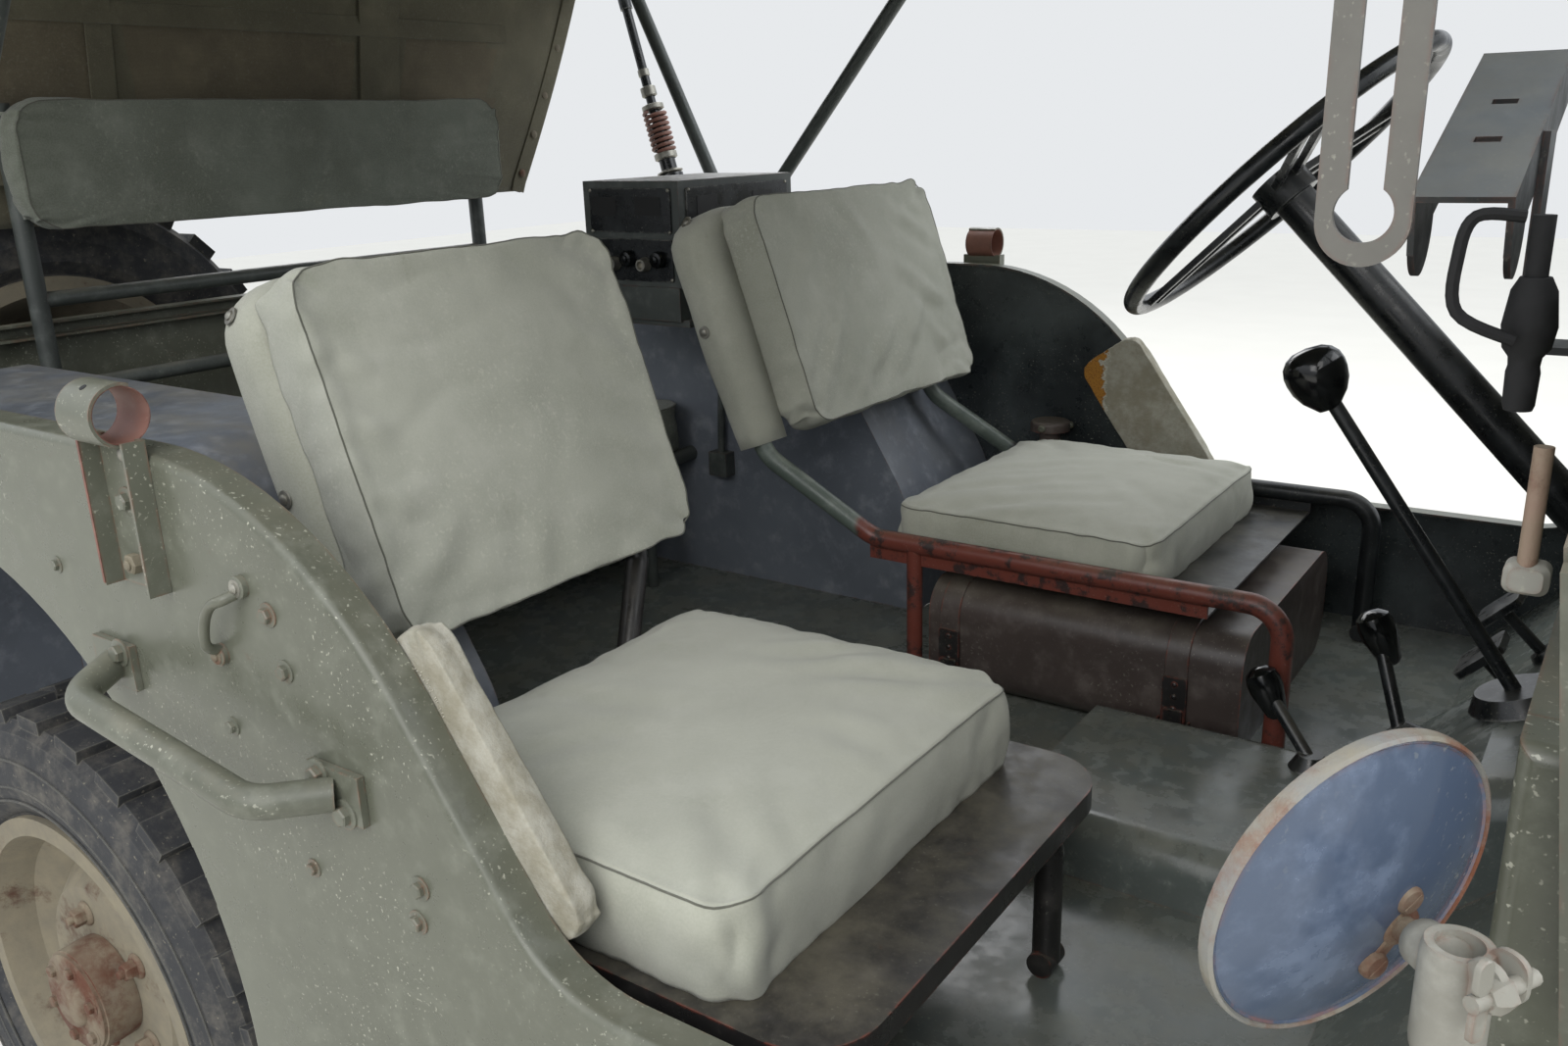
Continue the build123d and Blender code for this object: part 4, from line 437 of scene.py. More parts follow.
def circle(centre, radius, count, turn=0.0, plane=(FORE, UP)):
    """Points round a circle with their angles, upright along the car unless another plane is given."""
    u, v = (Vector(a) for a in plane)
    angles = [math.tau * k / count + turn for k in range(count)]
    return [(Vector(centre) + (u * math.cos(a) + v * math.sin(a)) * radius, a) for a in angles]


def arc(centre, radius, first, last, steps=6):
    """Pairs on an arc, in degrees."""
    angles = [math.radians(first + (last - first) * k / steps) for k in range(steps + 1)]
    return [(centre[0] + radius * math.cos(a), centre[1] + radius * math.sin(a)) for a in angles]


def curve_points(corners, steps=8):
    """A smooth run through the corners (Catmull-Rom)."""
    pts = [Vector(c) for c in corners]
    result = []
    for i in range(len(pts) - 1):
        p0, p1, p2, p3 = (pts[min(max(i + k, 0), len(pts) - 1)] for k in (-1, 0, 1, 2))
        for k in range(steps):
            t = k / steps
            result.append(0.5 * (2 * p1 + (p2 - p0) * t + (2 * p0 - 5 * p1 + 4 * p2 - p3) * t * t
                                 + (3 * p1 - p0 - 3 * p2 + p3) * t ** 3))
    return result + [pts[-1]]


# Heads and washers as (radius, height) in shares of a radius
WASHER = ((1.55, 0), (1.55, 0.18), (1.3, 0.26))
HEX_HEAD = ((1, 0), (1, 0.62), (0.84, 0.78), (0.3, 0.8))
RIVET_HEAD = ((1, 0), (0.92, 0.3), (0.6, 0.55), (0.2, 0.64))
DISHED_WASHER = ((1.7, 0), (1.65, 0.25), (1.1, 0.32))
ROUND_HEAD = ((1, 0.2), (0.95, 0.6), (0.6, 0.85), (0.2, 0.9))
SHARP_ANGLE = math.radians(38)


class Batch:
    """Many small fittings of one finish collected in one mesh."""

    def __init__(self, name, material, body="body"):
        self.name, self.material, self.body = name, material, body
        self.verts, self.faces = [], []

    def skin(self, rings, hollow=False):
        """Skin rings of points; a hollow one joins its last ring to the first, others are capped."""
        start, count, steps = len(self.verts), len(rings), len(rings[0])
        faces = grid(count, steps, hollow, True)
        if not hollow:
            faces += [tuple(reversed(range(steps))), tuple(range((count - 1) * steps, count * steps))]
        self.verts += [point for ring in rings for point in ring]
        self.faces += [tuple(i + start for i in face) for face in faces]

    def lathe(self, origin, normal, profile, steps=16, turn=0.0, scale=1.0, hollow=False):
        """Profile of (radius, height) pairs turned about the normal; a radius of 0 closes it."""
        n, side, up = axes_of(normal)
        angles = [math.tau * k / steps + turn for k in range(steps)]
        spokes = [side * math.cos(a) + up * math.sin(a) for a in angles]
        self.skin([[Vector(origin) + n * (h * scale) + spoke * max(r * scale, TIP) for spoke in spokes]
                   for r, h in profile], hollow)

    def sleeve(self, origin, normal, profile, steps=32):
        """A hollow turned ring: its section is a closed loop of (radius, height)."""
        self.lathe(origin, normal, profile, steps, hollow=True)

    def bolt(self, origin, normal, r, turn):
        """Washer and hexagon head."""
        self.lathe(origin, normal, WASHER, 18, scale=r)
        self.lathe(Vector(origin) + Vector(normal).normalized() * r * 0.2, normal, HEX_HEAD, 6, turn, r)

    def rivet(self, origin, normal, r):
        self.lathe(origin, normal, RIVET_HEAD, 12, scale=r)

    def screw(self, origin, normal, r):
        """Round head on a dished washer."""
        self.lathe(origin, normal, DISHED_WASHER, 18, scale=r)
        self.lathe(origin, normal, ROUND_HEAD, 14, scale=r)

    def tube(self, points, r, steps=10):
        """A bent rod through points."""
        path = [Vector(p) for p in points]
        rings, last = [], None
        for i, p in enumerate(path):
            n = (path[min(i + 1, len(path) - 1)] - path[max(i - 1, 0)]).normalized()
            last = axes_of(n)[1] if last is None else (last - n * last.dot(n)).normalized()
            rings.append([spot for spot, _ in circle(p, r, steps, plane=(last, n.cross(last)))])
        self.skin(rings)

    def plate(self, origin, normal, up, w, h, t, round_by=0.25):
        """A thin plate with rounded corners, its back at origin."""
        n = Vector(normal).normalized()
        v = (Vector(up) - n * Vector(up).dot(n)).normalized()
        u = v.cross(n)
        rc = min(w, h) * round_by
        rim = []
        for x, y, first in ((1, 1, 0), (-1, 1, 90), (-1, -1, 180), (1, -1, 270)):
            rim += arc((x * (w / 2 - rc), y * (h / 2 - rc)), rc, first, first + 90, 5)
        levels = ((0, 1), (t * 0.75, 1), (t, 1 - t * 0.4 / max(w, h)))
        self.skin([[Vector(origin) + (u * x + v * y) * k + n * depth for x, y in rim] for depth, k in levels])

    def ribbon(self, points, normals, width, thick, closed=False):
        """Webbing, strap or seam band lying on a surface, with one normal or one for each point."""
        path = [Vector(p) for p in points]
        count = len(path)
        half, edge = width / 2, thick * 0.35
        section = ((-half, 0), (-half, thick - edge), (-half + edge, thick), (half - edge, thick),
                   (half, thick - edge), (half, 0))
        rings = []
        for i, p in enumerate(path):
            after = path[(i + 1) % count] if closed else path[min(i + 1, count - 1)]
            before = path[i - 1] if closed or i else path[0]
            run = (after - before).normalized()
            n = Vector(normals[i] if isinstance(normals, list) else normals)
            n = (n - run * n.dot(run)).normalized()
            side = run.cross(n)
            rings.append([p + side * a + n * b for a, b in section])
        self.skin(rings, closed)

    def done(self):
        obj = add_mesh(self.name, self.verts, self.faces, self.material, self.body)
        bm = bmesh.new()
        bm.from_mesh(obj.data)
        bmesh.ops.recalc_face_normals(bm, faces=bm.faces)
        bm.to_mesh(obj.data)
        bm.free()
        obj.data.set_sharp_from_angle(angle=SHARP_ANGLE)
        return obj


def done_all(*batches):
    for batch in batches:
        batch.done()


class Pad:
    """A boxed cushion in its own axes: u across, v along, w out of its face."""

    DEEP_STEPS = 8
    EDGE_CREASE = 0.55
    RIM_STEPS = 200
    RIM_INSET = 0.012

    def __init__(self, origin, u, v, w, size, corner, crown, bulge, steps=46, puckers=0.0026, seed=0.0):
        self.origin = Vector(origin)
        self.u, self.v, self.w = (Vector(a).normalized() for a in (u, v, w))
        self.size, self.corner, self.crown, self.bulge = size, corner, crown, bulge
        self.steps, self.puckers, self.seed = steps, puckers, seed

    def surface(self, a, b, c, out=0.0):
        """Point for a, b, c from -1 to 1; out pushes it off the form."""
        half_u, half_v, half_w = (s / 2 for s in self.size)
        x, y = a * half_u, b * half_v
        cx, cy = half_u - self.corner, half_v - self.corner
        if abs(x) > cx and abs(y) > cy:
            dx, dy = abs(x) - cx, abs(y) - cy
            reach = max(dx, dy) / max(math.hypot(dx, dy), 1e-9)
            x = math.copysign(cx + dx * reach, x)
            y = math.copysign(cy + dy * reach, y)
        edge = max(abs(a), abs(b))
        dome = (1 - a * a) ** 0.55 * (1 - b * b) ** 0.55
        z = c * half_w + self.crown * dome * (1 if c > 0 else -0.15)
        belly = self.bulge * (1 - c * c)
        if edge > 0.97 and abs(c) < 1:
            pinch = 1 - 0.55 * (abs(a) * abs(b)) ** 6
            length = math.hypot(a / half_v, b / half_u)
            x += belly * pinch * a / half_v / length
            y += belly * pinch * b / half_u / length
        run = math.atan2(b, a) * 9
        near = math.exp(-(1 - edge) * min(half_u, half_v) / 0.028)
        corner_share = (abs(a) * abs(b)) ** 3
        ripple = noise.noise(Vector((run * 1.3, c * 1.2, self.seed))) * (0.35 + corner_share * 1.4)
        soft = noise.fractal(Vector((x * 9 + self.seed, y * 9, z * 9)), 0.7, 2.1, 4)
        folds = noise.noise(Vector((x * 16 + y * 5, y * 4 - x * 3, self.seed + 4)))
        push = self.puckers * (ripple * near * 2.2 + soft * 0.5 + folds * 0.45 * (1 - near)) + out
        lift = Vector((x / half_u * edge ** 8, y / half_v * edge ** 8, c)).normalized()
        p = Vector((x, y, z)) + lift * push
        return self.origin + self.u * p.x + self.v * p.y + self.w * p.z

    def build(self, name, material, body):
        """Top, bottom and four sides as one closed grid."""
        n, m = self.steps, self.DEEP_STEPS
        index, verts, faces = {}, [], []

        def quad(corners, flip):
            numbers = []
            for corner in corners:
                key = tuple(round(number, 5) for number in corner)
                if key not in index:
                    index[key] = len(verts)
                    verts.append(self.surface(*corner))
                numbers.append(index[key])
            faces.append(numbers[::-1] if flip else numbers)

        line = [-math.cos(math.pi * (0.12 + 0.76 * i / n)) / math.cos(math.pi * 0.12) for i in range(n + 1)]
        deep = [-1 + 2 * k / m for k in range(m + 1)]
        cell = ((0, 0), (1, 0), (1, 1), (0, 1))
        for c in (1, -1):
            for i in range(n):
                for j in range(n):
                    quad([(line[i + di], line[j + dj], c) for di, dj in cell], c < 0)
        for i in range(n):
            for k in range(m):
                for side in (-1, 1):
                    quad([(line[i + di], side, deep[k + dk]) for di, dk in cell], side > 0)
                    quad([(side, line[i + di], deep[k + dk]) for di, dk in cell], side < 0)
        obj = add_mesh(name, verts, faces, material, body)
        keys = {number: key for key, number in index.items()}
        crease = obj.data.attributes.new("crease_edge", "FLOAT", "EDGE")
        for edge in obj.data.edges:
            one, two = (keys[v] for v in edge.vertices)
            same = any(one[k] == two[k] and abs(one[k]) == 1 for k in (0, 1))
            if same and one[2] == two[2] and abs(one[2]) == 1:
                crease.data[edge.index].value = self.EDGE_CREASE
        return obj

    def rim(self):
        """Points round the edge of the pad's face."""
        result = []
        inner = 1 - self.RIM_INSET
        for i in range(self.RIM_STEPS):
            t = 4 * i / self.RIM_STEPS
            side, along = int(t), 2 * (t - int(t)) - 1
            a, b = ((along, -1), (1, along), (-along, 1), (-1, -along))[side]
            result.append(self.surface(a * inner, b * inner, 1))
        return result


CLOTH_FRAMES = 16
CLOTH = {"use_pressure": True, "uniform_pressure_force": 3.5, "quality": 4, "mass": 0.25,
         "bending_stiffness": 1.5, "shrink_min": -0.012}


def settle(obj, cap):
    """Short cloth run with inner pressure, each point held to a cap from where it began."""
    before = [v.co.copy() for v in obj.data.vertices]
    cloth = obj.modifiers.new("cloth", "CLOTH")
    for key, value in CLOTH.items():
        setattr(cloth.settings, key, value)
    cloth.settings.effector_weights.gravity = 0
    scene = bpy.context.scene
    for number in range(1, CLOTH_FRAMES + 1):
        scene.frame_set(number)
    evaluated = obj.evaluated_get(bpy.context.evaluated_depsgraph_get())
    after = [v.co.copy() for v in evaluated.data.vertices]
    obj.modifiers.remove(cloth)
    scene.frame_set(1)
    outward = [v.normal.copy() for v in obj.data.vertices]
    for vertex, old, new, normal in zip(obj.data.vertices, before, after, outward):
        move = new - old
        move -= normal * min(0.0, move.dot(normal)) * 0.6
        if move.length > cap:
            move *= cap / move.length
        vertex.co = old + move
    obj.data.update()


def wrinkle(obj, seed, amount, scale, along=(1, 1, 1)):
    """Soft creases pressed into a finished cover along its normals."""
    data = obj.data
    normals = [v.normal.copy() for v in data.vertices]
    for vertex, n in zip(data.vertices, normals):
        p = Vector((vertex.co.x * along[0], vertex.co.y * along[1], vertex.co.z * along[2])) * scale
        ridge = 1 - abs(noise.noise(p + Vector((seed, 0, 0)))) * 2.4
        swell = noise.noise(p * 0.4 + Vector((0, seed, 0)))
        share = max(0.0, noise.noise(p * 0.22 + Vector((seed, seed, 0))) + 0.35)
        vertex.co += n * amount * (max(ridge, 0.0) ** 3 * share * 1.3 + swell * 0.5)


# Pulled creases of the front covers: start and end in shares of the pad's half size, depth and width
CREASES = {
    "driver_back": (
        (0.93, -0.86, 0.25, 0.20, 0.0052, 0.012), (0.95, -0.55, 0.05, 0.62, 0.0046, 0.012),
        (0.95, -0.10, 0.30, 0.88, 0.0038, 0.012), (0.55, -0.95, -0.20, -0.15, 0.0046, 0.012),
        (0.15, -0.95, -0.60, 0.00, 0.0036, 0.012), (-0.95, -0.35, -0.15, 0.30, 0.0040, 0.012),
        (-0.95, 0.35, -0.35, 0.80, 0.0034, 0.012), (-0.80, -0.92, -0.45, -0.25, 0.0034, 0.012),
        (0.10, 0.95, -0.10, 0.25, 0.0030, 0.013)),
    "passenger_back": (
        (-0.95, 0.62, -0.35, 0.90, 0.0030, 0.013), (-0.96, 0.10, -0.45, 0.42, 0.0036, 0.014),
        (-0.96, -0.45, -0.40, -0.20, 0.0032, 0.014), (0.93, -0.80, 0.45, -0.35, 0.0034, 0.013),
        (0.95, 0.20, 0.70, 0.05, 0.0036, 0.011), (0.95, 0.55, 0.66, 0.42, 0.0036, 0.011),
        (0.95, -0.20, 0.68, -0.30, 0.0036, 0.011), (0.20, -0.95, 0.05, -0.50, 0.0028, 0.014)),
    "driver_cushion": (
        (-0.92, -0.82, 0.30, -0.05, 0.0048, 0.013), (-0.92, -0.35, 0.10, 0.25, 0.0042, 0.013),
        (-0.55, -0.94, 0.55, -0.45, 0.0044, 0.013), (0.92, -0.60, 0.20, 0.10, 0.0034, 0.013),
        (0.90, 0.55, 0.10, 0.50, 0.0034, 0.013), (-0.80, 0.92, -0.30, 0.30, 0.0034, 0.013)),
    "passenger_cushion": (
        (0.93, 0.86, 0.15, 0.42, 0.0042, 0.014), (0.40, 0.95, -0.15, 0.45, 0.0034, 0.014),
        (-0.90, -0.30, -0.05, -0.10, 0.0038, 0.015), (-0.55, -0.95, -0.15, -0.35, 0.0036, 0.014),
        (0.93, -0.88, 0.40, -0.40, 0.0042, 0.014), (0.95, 0.10, 0.45, 0.05, 0.0032, 0.014)),
}
CREASE_GAIN = 1.35


def press_creases(obj, pad, rows):
    """Press pulled creases into a cover, each a groove with a soft swell at its sides."""
    for x0, y0, x1, y1, depth, width in rows:
        a, b = pad.surface(x0, y0, 1), pad.surface(x1, y1, 1)
        run = b - a
        for vertex in obj.data.vertices:
            t = (vertex.co - a).dot(run) / run.length_squared
            if -0.1 < t < 1.1:
                wave = run.orthogonal().normalized() * math.sin(t * 7) * 0.004
                gap = (vertex.co - a - run * t - wave).length
                if gap < 3 * width:
                    fade = max(0.0, 1 - abs(2 * t - 1)) ** 0.6
                    swell = 0.55 * math.exp(-((gap - 1.9 * width) / width) ** 2)
                    shape = math.exp(-(gap / width) ** 2) - swell
                    vertex.co -= vertex.normal * depth * CREASE_GAIN * fade * shape


# How far a seam's thread lies off its cover, and the thread's radius
SEAM_LIFT, SEAM_R = 0.0002, 0.0009


def cover(name, body, pad, material, wrinkles, cap=0.006):
    """One soft cover for its CAD node: settled, wrinkled and seamed."""
    obj = pad.build(f"{name}_cover", material, body)
    settle(obj, cap)
    for row in wrinkles:
        wrinkle(obj, *row)
    press_creases(obj, pad, CREASES.get(name, ()))
    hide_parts(name)
    add_modifier(obj, "SUBSURF", levels=1, render_levels=1)
    seam = Batch(f"{name}_seam", "thread", body)
    surface = BVHTree.FromObject(obj, bpy.context.evaluated_depsgraph_get())
    rim = []
    for point in pad.rim():
        place, normal, _, _ = surface.find_nearest(point)
        rim.append(place + normal * SEAM_LIFT)
    seam.tube(rim + rim[:1], SEAM_R, 6)
    seam.done()


# Lean and thickness of the seat backs
BACK_LEAN, BACK_T = math.radians(19.3), 0.075
# How far a cover stays inside its solid, both sides together
COVER_GAP = 0.008


def seat_cushion(name, body, seed, corner=0.034, crown=0.016):
    """A crowned boxed cushion over its CAD solid, with a seam round its top."""
    low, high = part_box(name)
    size = high - low
    thick = size.z - crown * 0.2
    middle = Vector(((low.x + high.x) / 2, (low.y + high.y) / 2, low.z + thick / 2))
    pad = Pad(middle, FORE, LEFTWARD, UP, (size.x - COVER_GAP, size.y - COVER_GAP, thick),
              corner, crown, 0.006, seed=seed)
    wrinkles = ((seed, 0.0024, 15, (1, 0.8, 1.5)), (seed + 4, 0.0011, 42, (1, 0.6, 1.5)))
    cover(name, body, pad, "cover", wrinkles)


def seat_back(name, body, seed, screws, cover_tube=0.0):
    """A leaning back pad with its outer flap and screws."""
    low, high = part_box(name)
    out = Vector((math.cos(BACK_LEAN), 0, math.sin(BACK_LEAN)))
    up = Vector((-math.sin(BACK_LEAN), 0, math.cos(BACK_LEAN)))
    height = ((high.z - low.z) - BACK_T * math.sin(BACK_LEAN)) / math.cos(BACK_LEAN)
    size = (high.y - low.y - COVER_GAP, height - COVER_GAP, BACK_T - 0.012)
    pad = Pad((low + high) / 2 - out * 0.003, RIGHTWARD, up, out, size, 0.04, 0.012, 0.004, seed=seed)
    wrinkles = ((seed, 0.0030, 13, (1, 0.7, 1)), (seed + 4, 0.0013, 36, (1, 0.5, 1)))
    cover(name, body, pad, "worn", wrinkles)
    seat_flap(name, body, pad, screws, cover_tube)


# Section of the flap: place off the pad's edge, place out of its face, and its share of a tube's bulge
FLAP_SECTION = (
    (-0.0130, 0.004, 0.2), (-0.0045, -0.003, 0.8), (0.0022, -0.012, 1.0), (0.0030, -0.024, 1.05),
    (0.0026, -0.038, 1.05), (0.0010, -0.050, 1.05), (-0.0050, -0.0585, 1.0), (-0.0130, -0.0620, 0.8),
    (-0.0220, -0.0610, 0.5), (-0.0290, -0.0590, 0.3),
)
FLAP_CORNER, FLAP_STEP, FLAP_WIDTH = 0.052, 0.02, 0.098


def seat_flap(name, body, pad, screws, cover_tube):
    """The cover's turned-back edge round the tube frame, behind the pad: sides and top, with its screws."""
    half_u, half_v, depth = (s / 2 for s in pad.size)
    rc = FLAP_CORNER
    path = [(-half_u, -half_v + 0.004)]
    for cx, cy, first in ((-half_u + rc, half_v - rc, 180), (half_u - rc, half_v - rc, 90)):
        path += arc((cx, cy), rc, first, first - 90, 8)
    path.append((half_u, -half_v + 0.004))
    dense = []
    for (x0, y0), (x1, y1) in zip(path, path[1:]):
        parts = max(1, round(math.hypot(x1 - x0, y1 - y0) / FLAP_STEP))
        dense += [(x0 + (x1 - x0) * k / parts, y0 + (y1 - y0) * k / parts) for k in range(parts)]
    dense.append(path[-1])
    last = len(dense) - 1

    def off_edge(i):
        """Unit normal of the outline at a point, and how much of the bulge over the tube is there."""
        (x0, y0), (x1, y1) = dense[max(i - 1, 0)], dense[min(i + 1, last)]
        length = math.hypot(x1 - x0, y1 - y0)
        x, y = dense[i]
        beside = clamp((x - half_u + 0.05) / 0.05) * clamp((1.04 * half_v - y) / (0.28 * half_v))
        return -(y1 - y0) / length, (x1 - x0) / length, beside

    verts = []
    for i, (x, y) in enumerate(dense):
        nx, ny, beside = off_edge(i)
        low = 0.78 + 0.22 * clamp((y + half_v) / (0.8 * half_v))
        for k, (off, w, bulge) in enumerate(FLAP_SECTION):
            wave = noise.noise(Vector((i * 0.35, k * 0.5, pad.seed))) * 0.0022 * min(1, k / 3)
            reach = off + cover_tube * beside * bulge + wave
            verts.append(pad.origin + pad.u * (x + nx * reach) + pad.v * (y + ny * reach)
                         + pad.w * (w * low - depth + 0.002))
    obj = add_mesh(f"{name}_flap", verts, grid(len(dense), len(FLAP_SECTION)), "cover", body)
    add_modifier(obj, "SOLIDIFY", thickness=0.0016, offset=-1)
    heads = Batch(f"{name}_screws", "zinc", body)
    for share in screws:
        i = int(share * last)
        x, y = dense[i]
        nx, ny, beside = off_edge(i)
        n = pad.u * nx + pad.v * ny
        lift = 0.0036 + 1.06 * cover_tube * beside
        heads.screw(pad.origin + pad.u * x + pad.v * y + n * lift + pad.w * (-0.034 - depth), n, 0.0050)
    heads.done()


def bench_trim():
    """Rear bench cushion and back pad in dark duck."""
    low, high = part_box("rear_cushion")
    size = high - low
    size = (size.x - COVER_GAP, size.y - 0.010, size.z - COVER_GAP)
    pad = Pad((low + high) / 2, FORE, LEFTWARD, UP, size, 0.05, 0.010, 0.004, seed=31.0)
    cover("rear_cushion", "body", pad, "bench", ((7.0, 0.0022, 16),))
    low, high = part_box("rear_back")
    size = high - low
    size = (size.y - 0.010, size.z - 0.006, size.x - 0.004)
    pad = Pad((low + high) / 2, RIGHTWARD, UP, FORE, size, 0.045, 0.008, 0.003, seed=37.0)
    cover("rear_back", "rear_back", pad, "bench", ((11.0, 0.0026, 14, (1, 0.7, 1.4)),), 0.005)


PAD_SLOPE = math.radians(54.7)
FRAY_THREADS = 90


def torn_pad(side, name):
    """The pad tied inside the slope of a body side, worn through at its upper end."""
    down = Vector((math.cos(PAD_SLOPE), 0, -math.sin(PAD_SLOPE)))
    flat = Vector((math.sin(PAD_SLOPE), 0, math.cos(PAD_SLOPE)))
    place = Vector((-0.247, side * 0.6927, 0.821)) + flat * 0.007
    pad = Pad(place, down, flat * -side, (0, side, 0), (0.240, 0.104, 0.021), 0.022, 0.0015, 0.0015,
              steps=26, puckers=0.0014, seed=21.0 + side)
    obj = pad.build(f"edge_pad_{name}", "torn", "body")
    wrinkle(obj, 3.0 + side, 0.0012, 45)
    add_modifier(obj, "SUBSURF", levels=1, render_levels=1)
    if side < 0:
        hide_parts("edge_pads")
    fray = Batch(f"edge_pad_fray_{name}", "fray")
    for k in range(FRAY_THREADS):
        angle = math.tau * k / FRAY_THREADS
        a = -0.62 + 0.30 * math.cos(angle) + 0.05 * noise.noise(Vector((k * 0.7, 1, 0)))
        b = 0.60 * math.sin(angle) + 0.10 * noise.noise(Vector((k * 0.9, 2, 0)))
        root = pad.surface(a, b, 1, 0.0003)
        x, y, z = (noise.noise(Vector((k, row, 0))) for row in (3, 4, 5))
        bend = Vector((x, y * 0.4, z)) * 0.012
        fray.tube((root, root + pad.w * 0.0012 + bend * 0.5, root + pad.w * 0.0008 + bend), 0.00045, 4)
    fray.done()


# Canvas: half width, hang of the side valance, rounded shoulder, columns of its grid between them
HALF_WIDTH, HANG, SHOULDER, COLUMNS = 0.690, 0.105, 0.085, 44
# Places along the roof: top of the windscreen, middle bow, and where the rear curtain begins
SCREEN_X, BOW_X, CURTAIN_X = 0.352, -0.43, -1.335
CURTAIN_Z, CURTAIN_TURN = 1.71, 0.16
# Side line of the canvas: how far it lies over windscreen and bows, their line, then the curtain's
OVER_BOWS = 0.0135
ROOF_KNOTS = ((0.352, 1.678), (0.10, 1.7005), (-0.20, 1.7245), (-0.43, 1.752), (-0.72, 1.7355),
              (-1.05, 1.7265), (-1.315, 1.722))
CURTAIN_KNOTS = ((-1.3405, 1.7135), (-1.3475, 1.690), (-1.358, 1.620), (-1.383, 1.500), (-1.410, 1.340),
                 (-1.4385, 1.1725))
# Curtain windows: height range, front limit, and their ranges across
PANE_Z, PANE_X = (1.245, 1.445), -1.36
PANES = ((0.275, 0.47), (-0.47, -0.245), (-0.20, 0.165))


def canvas_width(z):
    """Half width of the rear curtain at a height: its lower corners are cut back."""
    return HALF_WIDTH - 0.135 * clamp((1.60 - z) / 0.42) ** 1.3


def roof_sag(x):
    """Share of the full sag at a place between two bows."""
    start, span = (SCREEN_X, 0.782) if x > BOW_X else (BOW_X, 0.885)
    return abs(math.sin(math.pi * (x - start) / span))


def canvas_top():
    """One curved sheet: roof over the bows with a valance at each side, and the rear curtain."""
    knots = [(x, 0, z + OVER_BOWS) for x, z in ROOF_KNOTS] + [(x, 0, z) for x, z in CURTAIN_KNOTS]
    line = curve_points(knots, 6)
    rc = SHOULDER
    verts = []
    for p in line:
        roof = p.x > CURTAIN_X
        fallen = (CURTAIN_Z - p.z) / CURTAIN_TURN
        low = max(0.0, fallen)
        half = HALF_WIDTH if roof else canvas_width(p.z)
        hang = HANG if roof else HANG * max(0.0, 1 - fallen)
        bulk = [(-half, -rc - hang), (-half, -rc - hang * 0.5), (-half, -rc)]
        bulk += arc((-half + rc, -rc), rc, 180 - 18, 90, 4)
        if hang <= 0:
            bulk = [(-half + k * rc / 7, 0.0) for k in range(8)]
        middle = [(-half + rc + (2 * half - 2 * rc) * k / COLUMNS, 0.0) for k in range(1, COLUMNS)]
        section = bulk + middle + [(-y, z) for y, z in reversed(bulk)]
        for y, drop in section:
            flat = max(0.0, 1 - (abs(y) / 0.62) ** 4)
            sag = noise.noise(Vector((p.x * 2.3, y * 2.1, p.z))) * 0.006
            sag += noise.noise(Vector((p.x * 9, y * 7, p.z * 6))) * 0.0022
            if roof:
                sag -= 0.012 * roof_sag(p.x) * flat
                y += sag * 0.5 if drop < -0.02 else 0
                verts.append((p.x, y, p.z + drop + min(sag, 0.001) * flat))
            else:
                fold = max(0.0, math.sin(y * 23 + p.z * 5) * 0.0035 * max(0.0, 1.65 - p.z))
                x = p.x - drop * 0.25 if low < 1 and drop < 0 else p.x - min(sag, 0.001) * 0.6 + fold
                verts.append((x, y, p.z + drop * max(0.0, 1 - low)))
    obj = add_mesh("canvas_cover", verts, grid(len(line), len(section)), "top", "body")
    obj.data.materials.append(MATERIALS["pane"])
    for face in obj.data.polygons:
        c = face.center
        if c.x < PANE_X and PANE_Z[0] < c.z < PANE_Z[1] and any(y0 < c.y < y1 for y0, y1 in PANES):
            face.material_index = 1
    add_modifier(obj, "SOLIDIFY", thickness=0.0024, offset=1)
    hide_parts("canvas_top")
    return line


def canvas_trim(line):
    """Seams, hems, window straps and corner snaps of the canvas."""
    trim = Batch("canvas_seams", "top")
    back = [p for p in line if p.x < -1.352]
    for side, _ in SIDES:
        hem = [(p.x, side * 0.6925, p.z - 0.176) for p in line if p.x > -1.30][::2]
        trim.ribbon(hem, (0, side, 0), 0.026, 0.0022)
        seam = [(p.x, side * 0.30, p.z - 0.0035 - 0.010 * roof_sag(p.x)) for p in line if p.x > -1.34][::2]
        trim.ribbon(seam, UP, 0.022, 0.0042)
    trim.ribbon([(0.350, k * 0.1, 1.6915) for k in range(-6, 7)], UP, 0.040, 0.0025)
    for turn, hem_off in ((1, 0.004), (-1, 0.0035)):
        normal = (turn, 0, 0.1 * turn)
        for y, width in ((-0.2405, 0.036), (0.223, 0.078)):
            trim.ribbon([(p.x + turn * 0.0042, y, p.z) for p in back], normal, width, 0.0022)
        for z in (1.447, 1.243):
            x = next(p.x for p in back if p.z <= z + 0.004) + turn * 0.0045
            trim.ribbon([(x, k * 0.05, z) for k in range(-10, 11)], normal, 0.030, 0.0020)
        for side, _ in SIDES:
            low = [p for p in back if p.z < 1.60]
            hem = [(p.x + turn * hem_off, side * (canvas_width(p.z) - 0.014), p.z) for p in low]
            trim.ribbon(hem, normal, 0.030, 0.0026)
    snaps = Batch("canvas_snaps", "iron")
    snap = ((0.0075, 0), (0.0075, 0.0012), (0.0048, 0.0030), (0.0, 0.0038))
    for side, _ in SIDES:
        for z in (1.205, 1.275, 1.345, 1.430, 1.520):
            x = min(back, key=lambda p: abs(p.z - z)).x
            snaps.lathe((x + 0.0062, side * (canvas_width(z) - 0.016), z), (1, 0, 0.1), snap, 14)
    done_all(trim, snaps)


